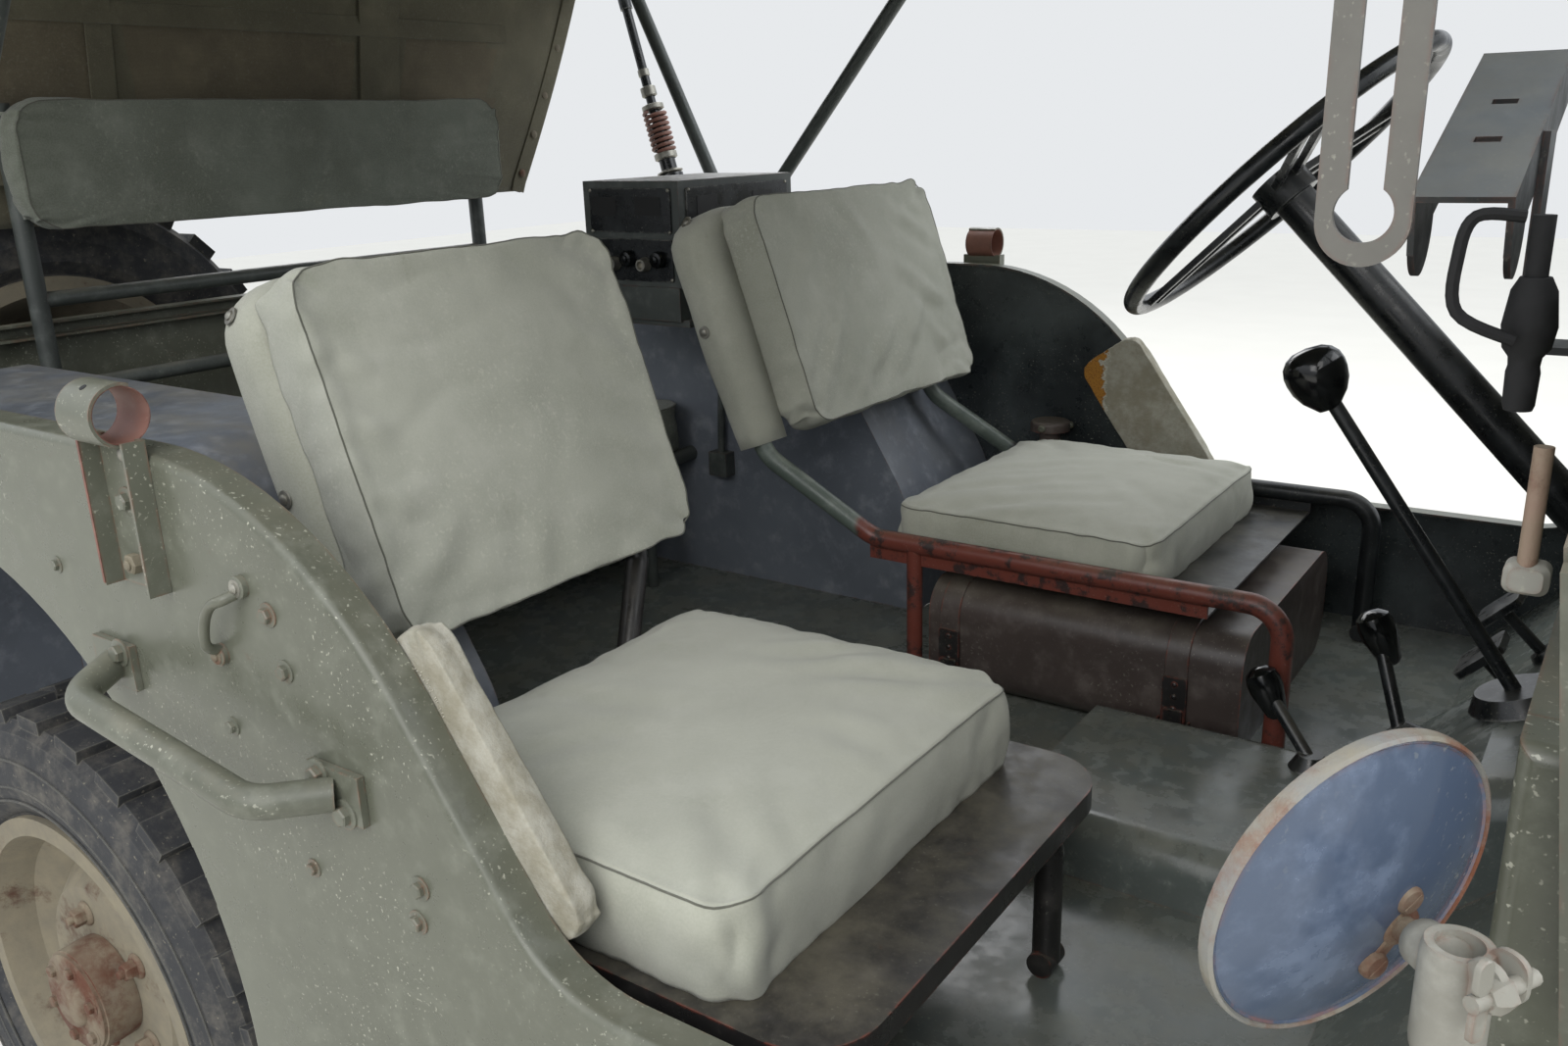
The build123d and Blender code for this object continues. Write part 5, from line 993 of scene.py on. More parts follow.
# Bolts of the body sides: x, z, radius
SIDE_BOLTS = (
    (-0.394, 0.944, 0.0062), (-0.383, 0.902, 0.0058), (-0.466, 0.837, 0.0052), (-0.386, 0.738, 0.005),
    (-0.259, 0.764, 0.0062), (-0.266, 0.734, 0.0062), (-0.700, 0.930, 0.005), (-1.250, 0.930, 0.005),
    (-1.250, 0.760, 0.005), (0.420, 0.960, 0.006), (0.420, 0.830, 0.006), (0.420, 0.640, 0.006),
)
HANDLE_BOLTS = ((-0.352, 0.831), (-0.325, 0.806), (-0.607, 0.871), (-0.638, 0.846))
# Wire loop ahead of the handle: x, how far it stands off the side, z; then its two ends
LOOP_WIRE = ((-0.424, 0.004, 0.956), (-0.428, 0.014, 0.953), (-0.441, 0.016, 0.947), (-0.452, 0.016, 0.934),
             (-0.457, 0.016, 0.918), (-0.459, 0.013, 0.909), (-0.461, 0.004, 0.904))
LOOP_ENDS = ((-0.422, 0.961), (-0.463, 0.899))
LOOP_FOOT = ((0.0088, 0), (0.0088, 0.0048), (0.007, 0.006), (0.0045, 0.006))
# Fastenings of the bow bracket: x and z of its rivet, bolt and nut
BRACKET_RIVET, BRACKET_BOLT, BRACKET_NUT = (-0.549, 1.046), (-0.555, 1.008), (-0.558, 0.957)
OPEN_NUT = ((0.0085, 0), (0.0085, 0.0065), (0.0072, 0.0078), (0.0045, 0.0078), (0.0045, 0.004))
STUD_END = ((0.0043, 0.003), (0.0043, 0.0092), (0.003, 0.0102))
RING_X, RING_Z = -0.553, 1.079
RING_LINING = ((0.0223, 0), (0.0223, 0.047), (0.0217, 0.047), (0.0217, 0))


def body_side_trim():
    """Bolts, wire loop, grab handle and bow bracket fastenings of both body sides."""
    for side, name in SIDES:
        out = (0, side, 0)

        def at(x, off, z):
            """A point that stands off the body side."""
            return Vector((x, side * (SIDE_Y + off), z))

        bolts = Batch(f"side_bolts_{name}", "olive")
        for number, (x, z, r) in enumerate(SIDE_BOLTS):
            bolts.bolt(at(x, 0, z), out, r, number * 0.7)
        for number, (x, z) in enumerate(HANDLE_BOLTS):
            bolts.bolt(at(x, 0.0063, z), out, 0.0078, 0.4 + number)
        web = 0.0033
        bolts.bolt(at(BRACKET_BOLT[0], web, BRACKET_BOLT[1]), out, 0.0075, 0.2)
        loop = Batch(f"side_loop_{name}", "olive")
        loop.tube(curve_points([at(*point) for point in LOOP_WIRE], 6), 0.0042, 10)
        small = Batch(f"side_screws_{name}", "zinc")
        rust = Batch(f"side_rust_{name}", "iron")
        for (x, z), batch in zip(LOOP_ENDS, (small, rust)):
            loop.lathe(at(x, 0, z), out, LOOP_FOOT, 18)
            batch.screw(at(x, 0.0055, z), out, 0.0042)
        small.rivet(at(BRACKET_RIVET[0], web, BRACKET_RIVET[1]), out, 0.0062)
        nut = at(BRACKET_NUT[0], web, BRACKET_NUT[1])
        rust.lathe(nut, out, OPEN_NUT, 6)
        rust.lathe(nut, out, STUD_END, 12)
        lining = Batch(f"ring_lining_{name}", "oxide")
        lining.sleeve(at(RING_X - 0.0235, 0.0093, RING_Z), FORE, RING_LINING)
        lining.plate(at(RING_X - 0.0315, 0.0185, 0.999), out, UP, 0.0028, 0.118, 0.0006, 0.1)
        # Black disc on the ring: painted shade of a small hole
        hole = Batch(f"ring_hole_painted_shade_{name}", "dial")
        tilt = Vector((0, side * 0.5, 0.87)).normalized()
        hole.lathe(at(RING_X, 0.0093, RING_Z) + tilt * 0.0249, tilt, ((0.003, 0), (0.003, 0.0004)), 12)
        done_all(loop, small, rust, bolts, lining, hole)


# Running wheels: body, x of the centre and side of the car
WHEELS = (
    ("wheel_front_left", 1.067, 1), ("wheel_front_right", 1.067, -1),
    ("wheel_rear_left", -0.965, 1), ("wheel_rear_right", -0.965, -1),
)
WHEEL_Y, WHEEL_Z = 0.616, 0.348
HUB_DRUM = ((0.062, 0.0), (0.0625, 0.018), (0.0612, 0.036), (0.0612, 0.0375), (0.0605, 0.038))
HUB_CAP = ((0.0585, 0), (0.0585, 0.0035), (0.0565, 0.005), (0.032, 0.006), (0.0285, 0.0065), (0.0265, 0.011),
           (0.022, 0.0135), (0.0, 0.0142))
NUT_SEAT = ((0.0155, 0), (0.0150, 0.002), (0.0125, 0.004), (0.0115, 0.0045))
WHEEL_NUT = ((0.0112, 0), (0.0112, 0.0115), (0.0095, 0.0135), (0.006, 0.0137))
WHEEL_STUD = ((0.0055, 0.010), (0.0055, 0.0205), (0.0042, 0.0222))
NUT_CIRCLE = 0.0875
# Bead rings of the tyre's wall: radius and distance from the wheel's middle
BEAD_RINGS = ((0.2445, 0.0765), (0.262, 0.0782), (0.296, 0.0790))
VALVE = ((0.004, 0), (0.004, 0.014), (0.0052, 0.014), (0.0052, 0.024), (0.003, 0.027))


def wheel_trim():
    """Rusty axle hub, its flange bolts, five wheel nuts and the tyre's bead rings."""
    for body, x, side in WHEELS:
        out = Vector((0, side, 0))
        hub = Batch(f"{body}_hub", "hub", body)
        drum, cap = (Vector((x, side * y, WHEEL_Z)) for y in (0.6545, 0.6925))
        hub.lathe(drum, out, HUB_DRUM, 40)
        hub.lathe(cap, out, HUB_CAP, 40)
        for spot, a in circle(cap, 0.0452, 6, 0.3):
            hub.bolt(spot + out * 0.0045, out, 0.0072, a)
        for spot, a in circle(drum, NUT_CIRCLE, 5, 0.62):
            hub.lathe(spot, out, NUT_SEAT, 18)
            hub.lathe(spot + out * 0.003, out, WHEEL_NUT, 6, a)
            hub.lathe(spot, out, WHEEL_STUD, 12)
        wall = Batch(f"{body}_bead_rings", "rubber", body)
        for r, depth in BEAD_RINGS:
            ring = [spot for spot, _ in circle((x, side * (WHEEL_Y + depth), WHEEL_Z), r, 72)]
            wall.tube(ring + ring[:1], 0.0017, 6)
        valve = Batch(f"{body}_valve", "iron", body)
        valve.lathe((x + 0.175, side * 0.650, WHEEL_Z + 0.07), out, VALVE, 10)
        done_all(hub, wall, valve)


# Tank: places of its straps along the car, its inner and outer face, foot, top and corner radius
STRAP_X = (-0.016, -0.318)
TANK_IN, TANK_OUT, TANK_FOOT, TANK_TOP, TANK_ROUND = 0.182, 0.60, 0.562, 0.690, 0.044
CAP_EAR = ((0.006, 0), (0.0062, 0.004), (0.004, 0.0065))


def tank_trim():
    """Two steel straps with buckles and floor brackets, and the filler cap's ears."""
    straps = Batch("tank_straps", "tank")
    dark = Batch("tank_buckles", "pan")
    rc = TANK_ROUND
    bends = ((TANK_IN + rc, 180), (TANK_OUT - rc, 90))
    for x in STRAP_X:
        points, normals = [(x, TANK_IN, TANK_FOOT)], [RIGHTWARD]
        for y, first in bends:
            corner = Vector((x, y, TANK_TOP - rc))
            bend = [Vector((x, *pair)) for pair in arc(corner.yz, rc, first, first - 90, 8)]
            points += bend
            normals += [(p - corner).normalized() for p in bend]
        straps.ribbon(points + [(x, TANK_OUT, TANK_FOOT)], normals + [LEFTWARD], 0.028, 0.0022)
        face = Vector((x, TANK_IN - 0.0022, 0.0))
        dark.plate(face + Vector((0, 0, 0.600)), RIGHTWARD, UP, 0.030, 0.062, 0.0030, 0.12)
        dark.plate(face + Vector((0, -0.003, 0.572)), RIGHTWARD, UP, 0.024, 0.036, 0.0034, 0.12)
        for z in (0.622, 0.606, 0.590):
            dark.rivet(face + Vector((0, -0.003, z)), RIGHTWARD, 0.0036)
        dark.tube([(x + turn * 0.019, TANK_IN - 0.009, 0.560) for turn in (-1, 1)], 0.0045)
        for turn in (-1, 1):
            foot = (x + turn * 0.0175, TANK_IN - 0.001, 0.558)
            dark.plate(foot, (turn, 0, 0), UP, 0.026, 0.034, 0.0025, 0.3)
    ears = Batch("filler_cap_ears", "olive")
    for spot, a in circle((-0.400, 0.686, 0.7955), 0.030, 3, 0.5, (FORE, LEFTWARD)):
        ears.lathe(spot, (math.cos(a), math.sin(a), 0), CAP_EAR, 10)
    done_all(straps, dark, ears)


GEAR_KNOB = ((0.0095, -0.0320), (0.0145, -0.0264), (0.0208, -0.0195), (0.0264, -0.0085), (0.0284, 0.0020),
             (0.0286, 0.0095), (0.0266, 0.0175), (0.0215, 0.0240), (0.0140, 0.0282), (0.0, 0.0300))
SMALL_KNOB = ((0.008, 0), (0.0115, 0.004), (0.0158, 0.022), (0.0184, 0.033), (0.0186, 0.044), (0.0165, 0.053),
              (0.009, 0.0585), (0.0, 0.0598))


def control_trim():
    """Black knobs of the gear lever and the two short levers, on the levers' own axes."""
    knobs = Batch("lever_knobs", "knob")
    knobs.lathe((0.141, 0.040, 1.029), (-0.43, 0, 0.90), GEAR_KNOB, 36)
    lean = Vector((-0.45, 0, 0.9)).normalized()
    for place in ((0.100, 0.125, 0.667), (0.206, 0.125, 0.754)):
        knobs.lathe(Vector(place) - lean * 0.036, lean, SMALL_KNOB, 28)
    knobs.done()


# The right mirror's dish as fitted to the photo, and the points of its arm; the left one is mirrored
MIRROR_AT, MIRROR_FACING, MIRROR_R = (0.344, -0.796, 1.010), (0.830, -0.541, -0.143), 0.062
MIRROR_TUBE_TOP, MIRROR_FOOT = (0.381, -0.808, 1.006), (0.420, -0.7385, 0.888)
MIRROR_JOINT = (0.360, -0.781, 0.990)
MIRROR_SCREWS = ((0.3612, -0.7825, 1.0028), (0.3533, -0.7874, 0.9757))
# Sections in shares of the dish's radius: shell, rolled rim and mirror face
DISH = ((0.985, -0.002), (0.985, 0.001), (0.955, 0.0028), (0.94, 0.0022), (0.9, 0.0028), (0.75, 0.0052),
        (0.5, 0.0080), (0.25, 0.0096), (0.0, 0.0102))
DISH_RIM = ((0.958, 0.0022), (0.976, 0.0036), (0.996, 0.0026), (1, 0.0004), (0.994, -0.0026), (0.97, -0.0036),
            (0.95, -0.0030), (0.95, 0.0))
DISH_FACE = ((0.95, 0.002), (0.95, 0.0042), (0.93, 0.0048), (0.0, 0.0048))
TUBE_MOUTH = ((0.0112, 0), (0.0118, 0.004), (0.0118, 0.036), (0.0108, 0.041), (0.0078, 0.041),
              (0.0074, 0.002))
CLAMP = ((0.0062, 0), (0.0088, 0.003), (0.0092, 0.009), (0.0085, 0.014), (0.0085, 0.020))
PIN_NUT = ((0.0066, 0), (0.0066, 0.004), (0.0052, 0.007), (0.004, 0.008))
JOINT_WASHER = ((0.0085, 0), (0.0080, 0.0018), (0.006, 0.0030))
DISH_SCREW = ((0.0056, 0), (0.0056, 0.0022), (0.0048, 0.0034), (0.0, 0.0038))


def mirror_trim():
    """A dished round mirror on its clamp and open tube, both sides; stands for the CAD mirrors."""
    for side, name in SIDES:
        points = (MIRROR_AT, MIRROR_FACING, MIRROR_TUBE_TOP, MIRROR_FOOT, MIRROR_JOINT, *MIRROR_SCREWS)
        at, n, top, base, seat, *screws = (Vector((x, -side * y, z)) for x, y, z in points)
        n.normalize()
        dish, rim, face = (Batch(f"mirror_{part}_{name}", material) for part, material in
                           (("dish", "slate"), ("rim", "mirror_rim"), ("face", "steel")))
        dish.lathe(at, n, [(r * MIRROR_R, h) for r, h in DISH], 72)
        shell = dish.done()
        if side < 0:
            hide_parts("mirrors")
        rim.sleeve(at, n, [(r * MIRROR_R, h) for r, h in DISH_RIM], 72)
        face.lathe(at, -n, [(r * MIRROR_R, h) for r, h in DISH_FACE], 72)
        tube = Batch(f"mirror_tube_{name}", "white")
        bends = (base, base + Vector((-0.004, side * 0.055, 0.001)),
                 (top.x + 0.004, base.y + side * 0.088, base.z + 0.010),
                 (top.x, top.y, base.z + 0.045), top - Vector((0, 0, 0.012)))
        tube.tube(curve_points(bends, 8), 0.0092, 18)
        tube.sleeve(top - Vector((0, 0, 0.040)), UP, TUBE_MOUTH, 28)
        run = (top - Vector((0, 0, 0.008)) - seat).normalized()
        joint = top - Vector((0, 0, 0.008)) - run * 0.017
        tube.lathe(joint - run * 0.006, run, CLAMP, 20)
        away = Vector((0.75, side * 0.42, 0)).normalized()
        cross = away.cross(Vector(UP)).normalized()
        for gap in (-1, 1):
            ear = top + away * 0.014 + cross * gap * 0.0042 - Vector((0, 0, 0.004))
            tube.plate(ear, cross * gap, UP, 0.014, 0.018, 0.0030, 0.45)
        tube.plate(base - Vector((0, side * 0.0005, 0)), (0, side, 0), UP, 0.050, 0.070, 0.005, 0.2)
        pin = Batch(f"mirror_pin_{name}", "white")
        spot = top + away * 0.018 - Vector((0, 0, 0.004)) - cross * 0.012
        pin.tube((spot, spot + cross * 0.030), 0.0030)
        pin.lathe(spot + cross * 0.0155, cross, PIN_NUT, 6)
        for turn in (-1, 1):
            wing = spot + cross * 0.026 + Vector((0, 0, turn * 0.0085))
            pin.plate(wing - away * 0.001, away, UP, 0.007, 0.013, 0.0022, 0.45)
        rust = Batch(f"mirror_screws_{name}", "hub")
        rust.tube((seat - n * 0.002, joint), 0.0048, 12)
        rust.lathe(seat - n * 0.001, n, JOINT_WASHER, 18)
        for point in screws:
            head = point - n * 0.0006
            rust.lathe(head, n, DISH_SCREW, 16)
            rust.plate(head + n * 0.0036, n, n.cross(run), 0.0012, 0.0085, 0.0004, 0.1)
            rust.ribbon((seat, head), n, 0.006, 0.0014)
        done_all(rim, face, tube, pin, rust)


# Screen latch: x, distance outward from its own line, z of the wire; and the hanging tapered plug
LATCH_WIRE = ((0.350, 0.0, 1.222), (0.331, 0.004, 1.222), (0.326, 0.006, 1.205), (0.328, 0.006, 1.180),
              (0.352, 0.002, 1.168))
PLUG = ((0.0065, 0), (0.0095, 0.006), (0.0115, 0.022), (0.0100, 0.032), (0.0070, 0.036), (0.0066, 0.040),
        (0.0072, 0.043), (0.0068, 0.058), (0.0060, 0.0605))


def screen_trim():
    """Wire latch, clamp, hanging tapered plug and pink rod at the foot of the windscreen, each side."""
    for side, name in SIDES:
        wire = Batch(f"screen_latch_{name}", "matte")
        wire.tube(curve_points([(x, side * (0.572 + off), z) for x, off, z in LATCH_WIRE], 6), 0.0028, 8)
        wire.tube([(0.356, side * 0.560, z) for z in (1.222, 1.150)], 0.0048, 12)
        wire.lathe((0.356, side * 0.560, 1.195), (0, 0, -1), PLUG, 20)
        rod = Batch(f"screen_rod_{name}", "pink")
        rod.tube([(0.3725, side * 0.620, z) for z in (1.132, 1.068)], 0.0040, 12)
        clamp_plate = Batch(f"screen_clamp_{name}", "white")
        clamp_plate.plate((0.3730, side * 0.613, 1.074), (0, side, 0), UP, 0.018, 0.014, 0.012, 0.3)
        done_all(wire, rod, clamp_plate)


# Dash gauges: radius, y, z; bezel and face in shares of the radius
GAUGES = ((0.048, 0.060, 0.985), (0.024, 0.140, 1.010), (0.024, 0.140, 0.955), (0.024, -0.020, 1.010),
          (0.024, -0.020, 0.955))
BEZEL = ((1, 0), (1, 0.003), (0.95, 0.0045), (0.88, 0.0035), (0.88, 0))
GAUGE_FACE = ((0.88, 0), (0.88, 0.0008), (0.0, 0.001))
DASH_KNOB = ((0.010, 0), (0.010, 0.006), (0.007, 0.014), (0.005, 0.016))


def gauge_trim():
    """Bezels, dark faces, ticks and needles of the dash gauges, knobs and a blank plate."""
    bezels = Batch("gauge_bezels", "black")
    faces = Batch("gauge_faces", "dial")
    marks = Batch("gauge_marks", "tick")

    def mark(at, degrees, reach, lift, width, length, thick):
        """A tick or needle that points outward at an angle."""
        d = Vector((0, math.sin(math.radians(degrees)), math.cos(math.radians(degrees))))
        marks.plate(at + Vector((-lift, 0, 0)) + d * reach, AFT, d, width, length, thick, 0.1)

    for r, y, z in GAUGES:
        at = Vector((0.3762, y, z))
        bezels.sleeve(at, AFT, [(a * r, h) for a, h in BEZEL], 40)
        faces.lathe(at, AFT, [(a * r, h) for a, h in GAUGE_FACE], 32)
        for k in range(9):
            mark(at, -130 + 260 * k / 8, r * 0.74, 0.0008, r * 0.035, r * 0.14, 0.0003)
        mark(at, -70, r * 0.3, 0.0012, r * 0.045, r * 0.66, 0.0004)
    for y in (0.240, 0.290, -0.090, -0.140):
        bezels.lathe((0.385, y, 0.950), AFT, DASH_KNOB, 18)
    bezels.plate((0.3848, -0.330, 0.990), AFT, UP, 0.110, 0.060, 0.0012, 0.05)
    for y in (-0.379, -0.281):
        for z in (0.966, 1.014):
            bezels.rivet((0.3836, y, z), AFT, 0.0025)
    done_all(bezels, faces, marks)


# Headlamps: bezel section, and the lens's radius, bulge, rib spacing and rib reach
LAMP_BEZEL = ((0.0985, 0.004), (0.0995, 0.009), (0.096, 0.0135), (0.086, 0.0135), (0.0815, 0.010),
              (0.0815, 0.004))
LENS_R, LENS_BULGE, RIB_STEP, RIB_REACH = 0.084, 0.0175, 0.0125, 0.080
MARKER_AT = Vector((1.250, 0.610, 0.914))
MARKER_BEZEL = ((0.041, 0), (0.0425, 0.004), (0.041, 0.008), (0.034, 0.008), (0.033, 0))
MARKER_LENS = ((0.034, 0), (0.032, 0.004), (0.020, 0.0065), (0.0, 0.0072))
TAIL_BEZEL = ((0.035, -0.006), (0.0355, 0.003), (0.033, 0.006), (0.028, 0.006), (0.028, 0))
TAIL_LENS = ((0.028, 0), (0.0275, 0.004), (0.020, 0.0085), (0.0, 0.010))
# Hood catches: x and y of the plate on the side, and y and z of its hook plate on the hood
CATCHES = ((0.640, 0.5575, 0.5475, 0.930), (1.120, 0.5175, 0.5085, 0.922))
CATCH_WIRE = ((-0.010, 0.010, 0.850), (-0.010, 0.012, 0.905), (0, 0.010, 0.918), (0.010, 0.012, 0.905),
              (0.010, 0.010, 0.850))


def front_trim():
    """Lamp bezels and ribbed lenses, hood catches, hinge leaves and bumper bolts."""
    bezel = Batch("lamp_bezels", "olive")
    lens = Batch("lamp_lenses", "lens")
    dome = [(LENS_R * math.cos(t), LENS_BULGE * math.sin(t)) for t in (0.35, 0.6, 0.85, 1.1, 1.35)]
    for y in (-0.372, 0.372):
        at = Vector((1.2985, y, 0.858))
        bezel.sleeve(at, FORE, LAMP_BEZEL, 56)
        lens.lathe(at + Vector((0.0035, 0, 0)), FORE, [(LENS_R, 0.0)] + dome + [(0.0, 0.0176)], 48)
        for k in range(-6, 7):
            off = k * RIB_STEP
            half = math.sqrt(max(RIB_REACH ** 2 - off ** 2, 0))
            rib = []
            for z in (half * t / 5 for t in range(-5, 6)):
                bulge = 0.0178 * math.sqrt(max(1 - (off ** 2 + z * z) / LENS_R ** 2, 0))
                rib.append(at + Vector((0.0035 + bulge, off, z)))
            lens.tube(rib, 0.0012, 6)
    bezel.sleeve(MARKER_AT + Vector((0.030, 0, 0)), FORE, MARKER_BEZEL, 36)
    lens.lathe(MARKER_AT + Vector((0.0345, 0, 0)), FORE, MARKER_LENS, 32)
    bezel.plate(MARKER_AT + Vector((0.037, 0, 0.014)), FORE, UP, 0.056, 0.024, 0.012, 0.4)
    tail = Batch("tail_lenses", "red")
    bolts = Batch("front_bolts", "olive")
    catch = Batch("hood_catches", "black")
    hood = Batch("hood_fittings", "olive", "hood")
    for y in (-0.600, -0.400, -0.300, 0.300, 0.400, 0.600):
        bolts.bolt((1.6672, y, 0.515), FORE, 0.011, y)
        bolts.bolt((1.6672, y, 0.465), FORE, 0.011, y + 1)
    for side, _ in SIDES:
        out = (0, side, 0)
        bezel.sleeve((-1.4915, side * 0.642, 0.632), AFT, TAIL_BEZEL)
        tail.lathe((-1.4915, side * 0.642, 0.632), AFT, TAIL_LENS, 28)
        for x in (0.60, 0.80, 1.00, 1.20, 1.38):
            bolts.bolt((x, side * 0.7352, 0.802), out, 0.006, x)
        for x, y, hook_y, hook_z in CATCHES:
            catch.plate((x, side * (y + 0.004), 0.852), out, UP, 0.030, 0.040, 0.004, 0.2)
            catch.tube(curve_points([(x + dx, side * (y + dy), z) for dx, dy, z in CATCH_WIRE], 6), 0.0026, 8)
            hood.plate((x, side * hook_y, hook_z), out, UP, 0.026, 0.034, 0.006, 0.2)
    for y in (-0.42, -0.20, 0.0, 0.20, 0.42):
        hood.plate((0.510, y, 1.0462), UP, FORE, 0.034, 0.052, 0.0022, 0.15)
        for x in (0.502, 0.530):
            hood.rivet((x, y, 1.0482), UP, 0.004)
    done_all(lens, tail, bezel, bolts, catch, hood)


# Radio faces: middle, outward, along and length
RADIO_FACES = (((-0.850, 0.1995, 1.130), RIGHTWARD, FORE, 0.160),
               ((-0.7598, 0.340, 1.130), FORE, LEFTWARD, 0.260))
RADIO_SOCKET = ((0.0105, 0), (0.0105, 0.004), (0.0085, 0.009), (0.0085, 0.013), (0.0060, 0.013),
                (0.0055, 0.006))
RADIO_KNOB = ((0.0085, 0), (0.0120, 0.001), (0.0120, 0.010), (0.0105, 0.013), (0.0060, 0.0135),
              (0.005, 0.016), (0.0, 0.0165))


def radio_trim():
    """Blank panels, knobs and sockets on the radio's two seen faces."""
    panel = Batch("radio_panels", "black")
    plate = Batch("radio_plates", "dial")
    metal = Batch("radio_sockets", "zinc")
    knobs = Batch("radio_knobs", "knob")
    for origin, out, along, length in RADIO_FACES:
        n = Vector(out)

        def at(share, z, off):
            """A point on the face: share of its length, height and distance off it."""
            return Vector(origin) + Vector(along) * share * length + Vector((0, 0, z)) + n * off

        panel.plate(at(0, 0.034, 0), n, UP, length * 0.96, 0.062, 0.0025, 0.06)
        panel.plate(at(0, -0.036, 0), n, UP, length * 0.96, 0.060, 0.0025, 0.06)
        for share in (-0.30, 0.22):
            plate.plate(at(share, 0.040, 0.0025), n, UP, 0.048, 0.026, 0.0008, 0.08)
        for share in (-0.46, 0.46):
            for z in (0.062, -0.063, 0.004):
                metal.rivet(at(share, z, 0.0024), n, 0.0028)
        for share in (-0.20, 0.16):
            metal.lathe(at(share, -0.042, 0.0024), n, RADIO_SOCKET, 20)
        for share in (-0.36, -0.02, 0.34):
            knobs.lathe(at(share, -0.034, 0.0024), n, RADIO_KNOB, 20)
    done_all(panel, plate, metal, knobs)


AERIAL_FOOT, AERIAL_LEAN = Vector((-1.200, 0.771, 1.038)), math.radians(16)
# Spring: turns, points a turn, start, length, radius; collars: place, radius, length; places of ribs
COIL_TURNS, COIL_STEPS, COIL_START, COIL_LENGTH, COIL_R = 8, 14, 0.205, 0.078, 0.0205
COLLARS = ((0.190, 0.0225, 0.014), (0.285, 0.0215, 0.012), (0.312, 0.0150, 0.020), (0.350, 0.0110, 0.016))
RIBS = (0.060, 0.080, 0.100, 0.120, 0.140, 0.160)
RIB = ((0.016, 0), (0.0255, 0.004), (0.0255, 0.006), (0.016, 0.010))


def aerial_trim():
    """Coil spring and pale insulator collars of the leaning aerial."""
    up, side, fore = axes_of((-math.sin(AERIAL_LEAN), 0, math.cos(AERIAL_LEAN)))
    coil = Batch("aerial_spring", "oxide")
    count = COIL_TURNS * COIL_STEPS
    points = []
    for k in range(count + 1):
        a = math.tau * k / COIL_STEPS
        rise = up * (COIL_START + COIL_LENGTH * k / count)
        points.append(AERIAL_FOOT + rise + (side * math.cos(a) + fore * math.sin(a)) * COIL_R)
    coil.tube(points, 0.0036, 8)
    collar = Batch("aerial_collars", "zinc")
    for s, r, h in COLLARS:
        ring = ((r - 0.004, 0), (r, 0.002), (r, h - 0.002), (r - 0.004, h))
        collar.sleeve(AERIAL_FOOT + up * s, up, ring, 24)
    for s in RIBS:
        collar.sleeve(AERIAL_FOOT + up * s, up, RIB, 28)
    done_all(coil, collar)


CAN_AT = Vector((-1.535, 0.330, 0.800))
CAN_BACK = -0.0752
# Corners of the can's pressed rim: y and z off its middle, and the angle where each begins
RIM_CORNERS = ((0.115, 0.16, 90), (0.115, -0.16, 0), (-0.115, -0.16, -90), (-0.115, 0.16, 180))
HANDLE = ((-0.045, 0.222), (-0.045, 0.246), (0.045, 0.246), (0.045, 0.222))
SPARE_AT = (-1.580, -0.330, 0.882)
SPARE_NUT = ((0.0152, 0), (0.0148, 0.002), (0.012, 0.004))
REFLECTOR = ((0.030, 0), (0.030, 0.004), (0.026, 0.0065), (0.0, 0.0075))


def rear_trim():
    """Can embossing and strap, spare wheel nuts, tail bolts and reflectors."""
    can = Batch("can_embossing", "olive")
    for turn in (-1, 1):
        for shift in (-0.010, 0.010):
            run = [(turn * (-0.115 + 0.23 * k / 4) + shift, -0.130 + 0.26 * k / 4) for k in range(5)]
            can.ribbon([CAN_AT + Vector((CAN_BACK, y, z)) for y, z in run], AFT, 0.010, 0.0028)
    rim = []
    for cy, cz, first in RIM_CORNERS:
        rim += [CAN_AT + Vector((CAN_BACK, y, z)) for y, z in arc((cy, cz), 0.03, first, first - 90, 4)]
    can.ribbon(rim, AFT, 0.010, 0.0028, True)
    for shift in (-0.085, 0.0, 0.085):
        can.tube(curve_points([CAN_AT + Vector((0, shift + y, z)) for y, z in HANDLE], 5), 0.0075)
    strap = Batch("can_strap", "web")
    wrap = [(0.090, -0.172), (-0.055, -0.1735)] + arc((-0.055, -0.152), 0.0225, 270, 180, 5)
    wrap += arc((-0.055, 0.152), 0.0225, 180, 90, 5) + [(0.090, 0.172)]
    normals = [(-1 if x < -0.056 else 0, math.copysign(1, y) if x > -0.075 else 0, 0) for x, y in wrap]
    strap.ribbon([CAN_AT + Vector((x, y, -0.02)) for x, y in wrap], normals, 0.034, 0.0026)
    strap.done()
    buckle = Batch("can_buckle", "black")
    for z in (-0.039, -0.001):
        buckle.tube([CAN_AT + Vector((-0.0815, y, z)) for y in (0.050, 0.092)], 0.0026, 8)
    for y in (0.050, 0.071, 0.092):
        buckle.tube([CAN_AT + Vector((-0.0815, y, z)) for z in (-0.039, -0.001)], 0.0026, 8)
    nuts = Batch("spare_nuts", "hub")
    for spot, _ in circle(SPARE_AT, NUT_CIRCLE, 5, plane=(LEFTWARD, UP)):
        nuts.lathe(spot, AFT, SPARE_NUT, 18)
    bolts = Batch("tail_bolts", "olive")
    reflectors = Batch("reflectors", "red")
    for side, _ in SIDES:
        for y, z in ((0.690, 1.000), (0.690, 0.850), (0.690, 0.720), (0.550, 1.022)):
            bolts.bolt((-1.4405, side * y, z), AFT, 0.0062, y + z)
        reflectors.lathe((-1.4405, side * 0.642, 0.720), AFT, REFLECTOR, 28)
    done_all(can, buckle, nuts, bolts, reflectors)


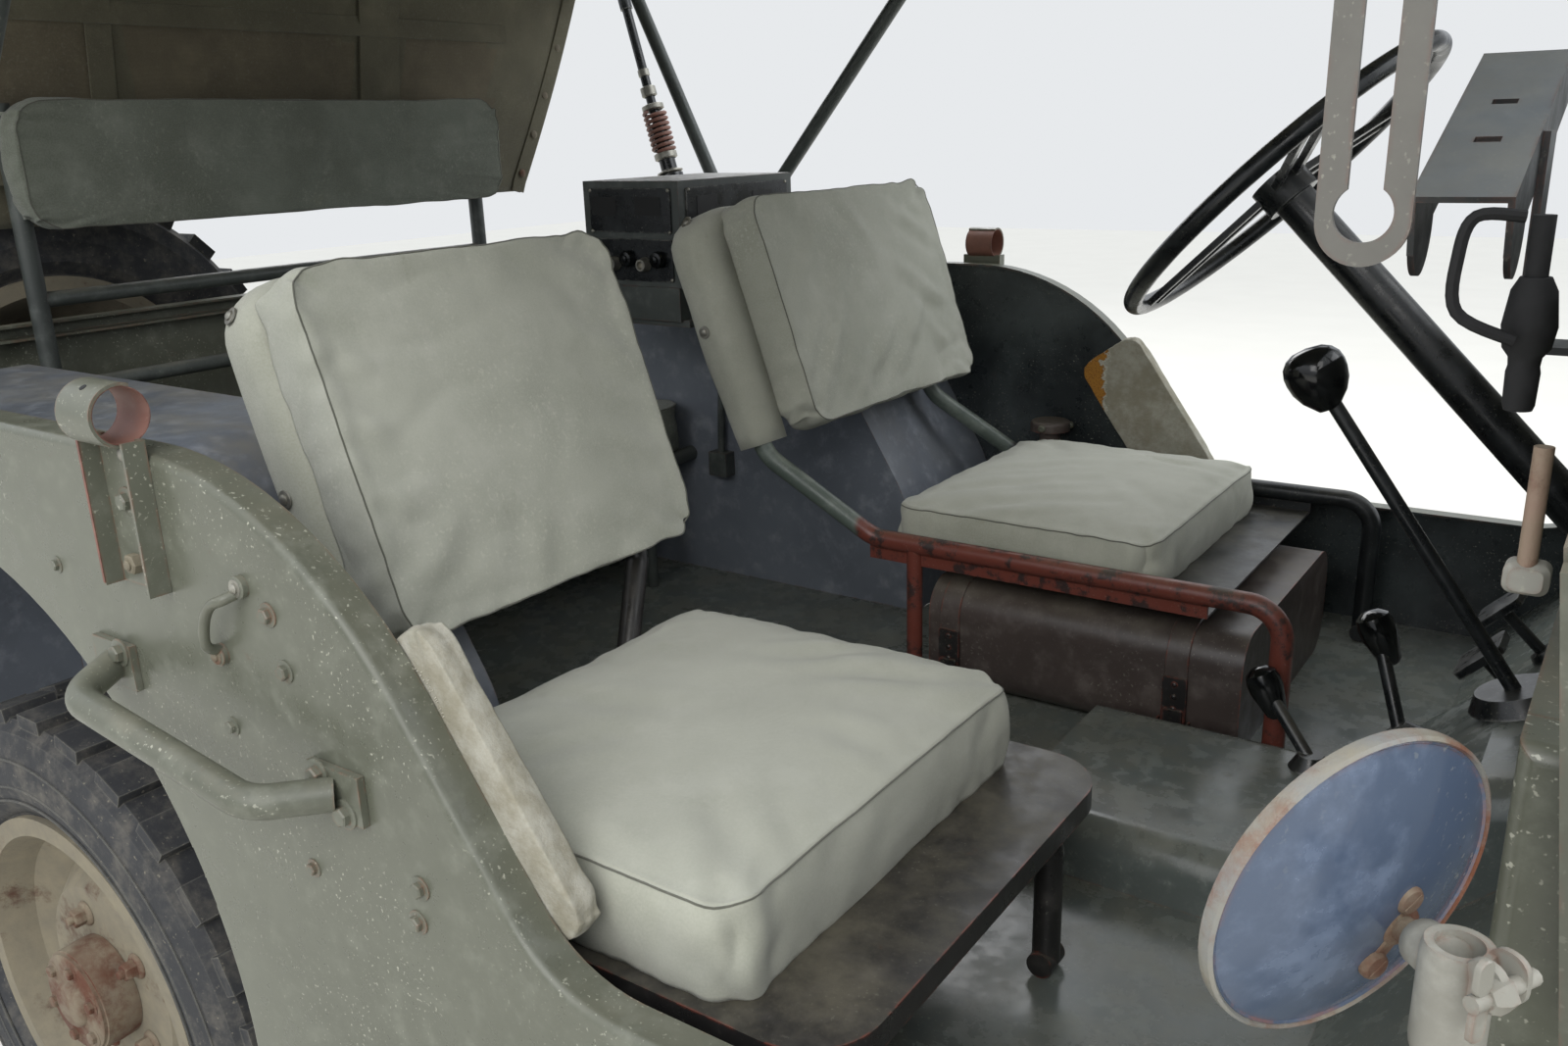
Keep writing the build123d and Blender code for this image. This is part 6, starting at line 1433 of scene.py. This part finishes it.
def camera():
    """The photograph's camera."""
    az, el, roll = (math.radians(v) for v in (CAMERA_AZ, CAMERA_EL, CAMERA_ROLL))
    ahead = Vector((-math.sin(az) * math.cos(el), math.cos(az) * math.cos(el), -math.sin(el)))
    right = ahead.cross(Vector(UP)).normalized()
    above = right.cross(ahead)
    rolled = math.cos(roll) * right + math.sin(roll) * above
    top = -math.sin(roll) * right + math.cos(roll) * above
    data = bpy.data.cameras.new("camera")
    data.lens = CAMERA_LENS
    data.sensor_width = 36
    data.clip_start = 0.01
    obj = bpy.data.objects.new("camera", data)
    bpy.context.scene.collection.objects.link(obj)
    turn = Matrix((rolled, top, -ahead)).transposed().to_4x4()
    obj.matrix_world = Matrix.Translation(CAMERA_AT) @ turn
    bpy.context.scene.camera = obj


def studio():
    """Pale floor, soft area lamps and an even world."""
    scene = bpy.context.scene
    data = bpy.data.meshes.new("floor")
    corners = [(x * FLOOR_REACH, y * FLOOR_REACH, 0) for x, y in ((-1, -1), (1, -1), (1, 1), (-1, 1))]
    data.from_pydata(corners, [], [(0, 1, 2, 3)])
    floor = bpy.data.objects.new("floor", data)
    scene.collection.objects.link(floor)
    s = Shader("studio_floor", roughness=0.9)
    data.materials.append(s.finish(s.mix(s.noise(3, 3, 0.5), "cfccc4", "d6d3cb")))
    scene.world = bpy.data.worlds.new("world")
    scene.world.use_nodes = True
    sky = Nodes(scene.world.node_tree)
    split = sky.new("ShaderNodeSeparateXYZ", ((0, sky.new("ShaderNodeTexCoord").outputs["Generated"]),))
    fall = sky.new("ShaderNodeMapRange", (("Value", split.outputs[2]), *SKY_FALL))
    back = sky.tree.nodes["Background"]
    sky.feed(back.inputs["Color"], SKY_COLOUR)
    sky.feed(back.inputs["Strength"], fall.outputs[0])
    seen = sky.new("ShaderNodeBackground", (("Color", BACKDROP), ("Strength", 1.0)))
    path = sky.new("ShaderNodeLightPath").outputs
    rays = ((0, path["Is Camera Ray"]), (1, path["Is Transmission Ray"]))
    either = sky.new("ShaderNodeMath", rays, operation="MAXIMUM").outputs[0]
    mixer = sky.new("ShaderNodeMixShader", ((0, either), (1, back.outputs[0]), (2, seen.outputs[0])))
    sky.feed(sky.tree.nodes["World Output"].inputs["Surface"], mixer.outputs[0])
    for name, place, size, power, tint in LAMPS:
        light = bpy.data.lights.new(name, "AREA")
        light.size = size
        light.energy = power
        light.color = tint
        lamp = bpy.data.objects.new(name, light)
        scene.collection.objects.link(lamp)
        lamp.location = place
        lamp.rotation_euler = (LAMP_AIM - Vector(place)).to_track_quat("-Z", "Y").to_euler()
    scene.view_settings.view_transform = "Standard"


camera()
studio()
seat_cushion("passenger_cushion", "passenger_seat", 1.0)
seat_cushion("driver_cushion", "body", 5.0)
seat_back("passenger_back", "passenger_seat", 9.0, (0.16, 0.30, 0.44, 0.58, 0.72, 0.88))
seat_back("driver_back", "body", 13.0, (0.10, 0.22, 0.34, 0.46, 0.60, 0.74, 0.88), cover_tube=0.042)
bench_trim()
for side, name in SIDES:
    torn_pad(side, name)
canvas_trim(canvas_top())
body_side_trim()
wheel_trim()
tank_trim()
control_trim()
mirror_trim()
screen_trim()
gauge_trim()
front_trim()
radio_trim()
aerial_trim()
rear_trim()
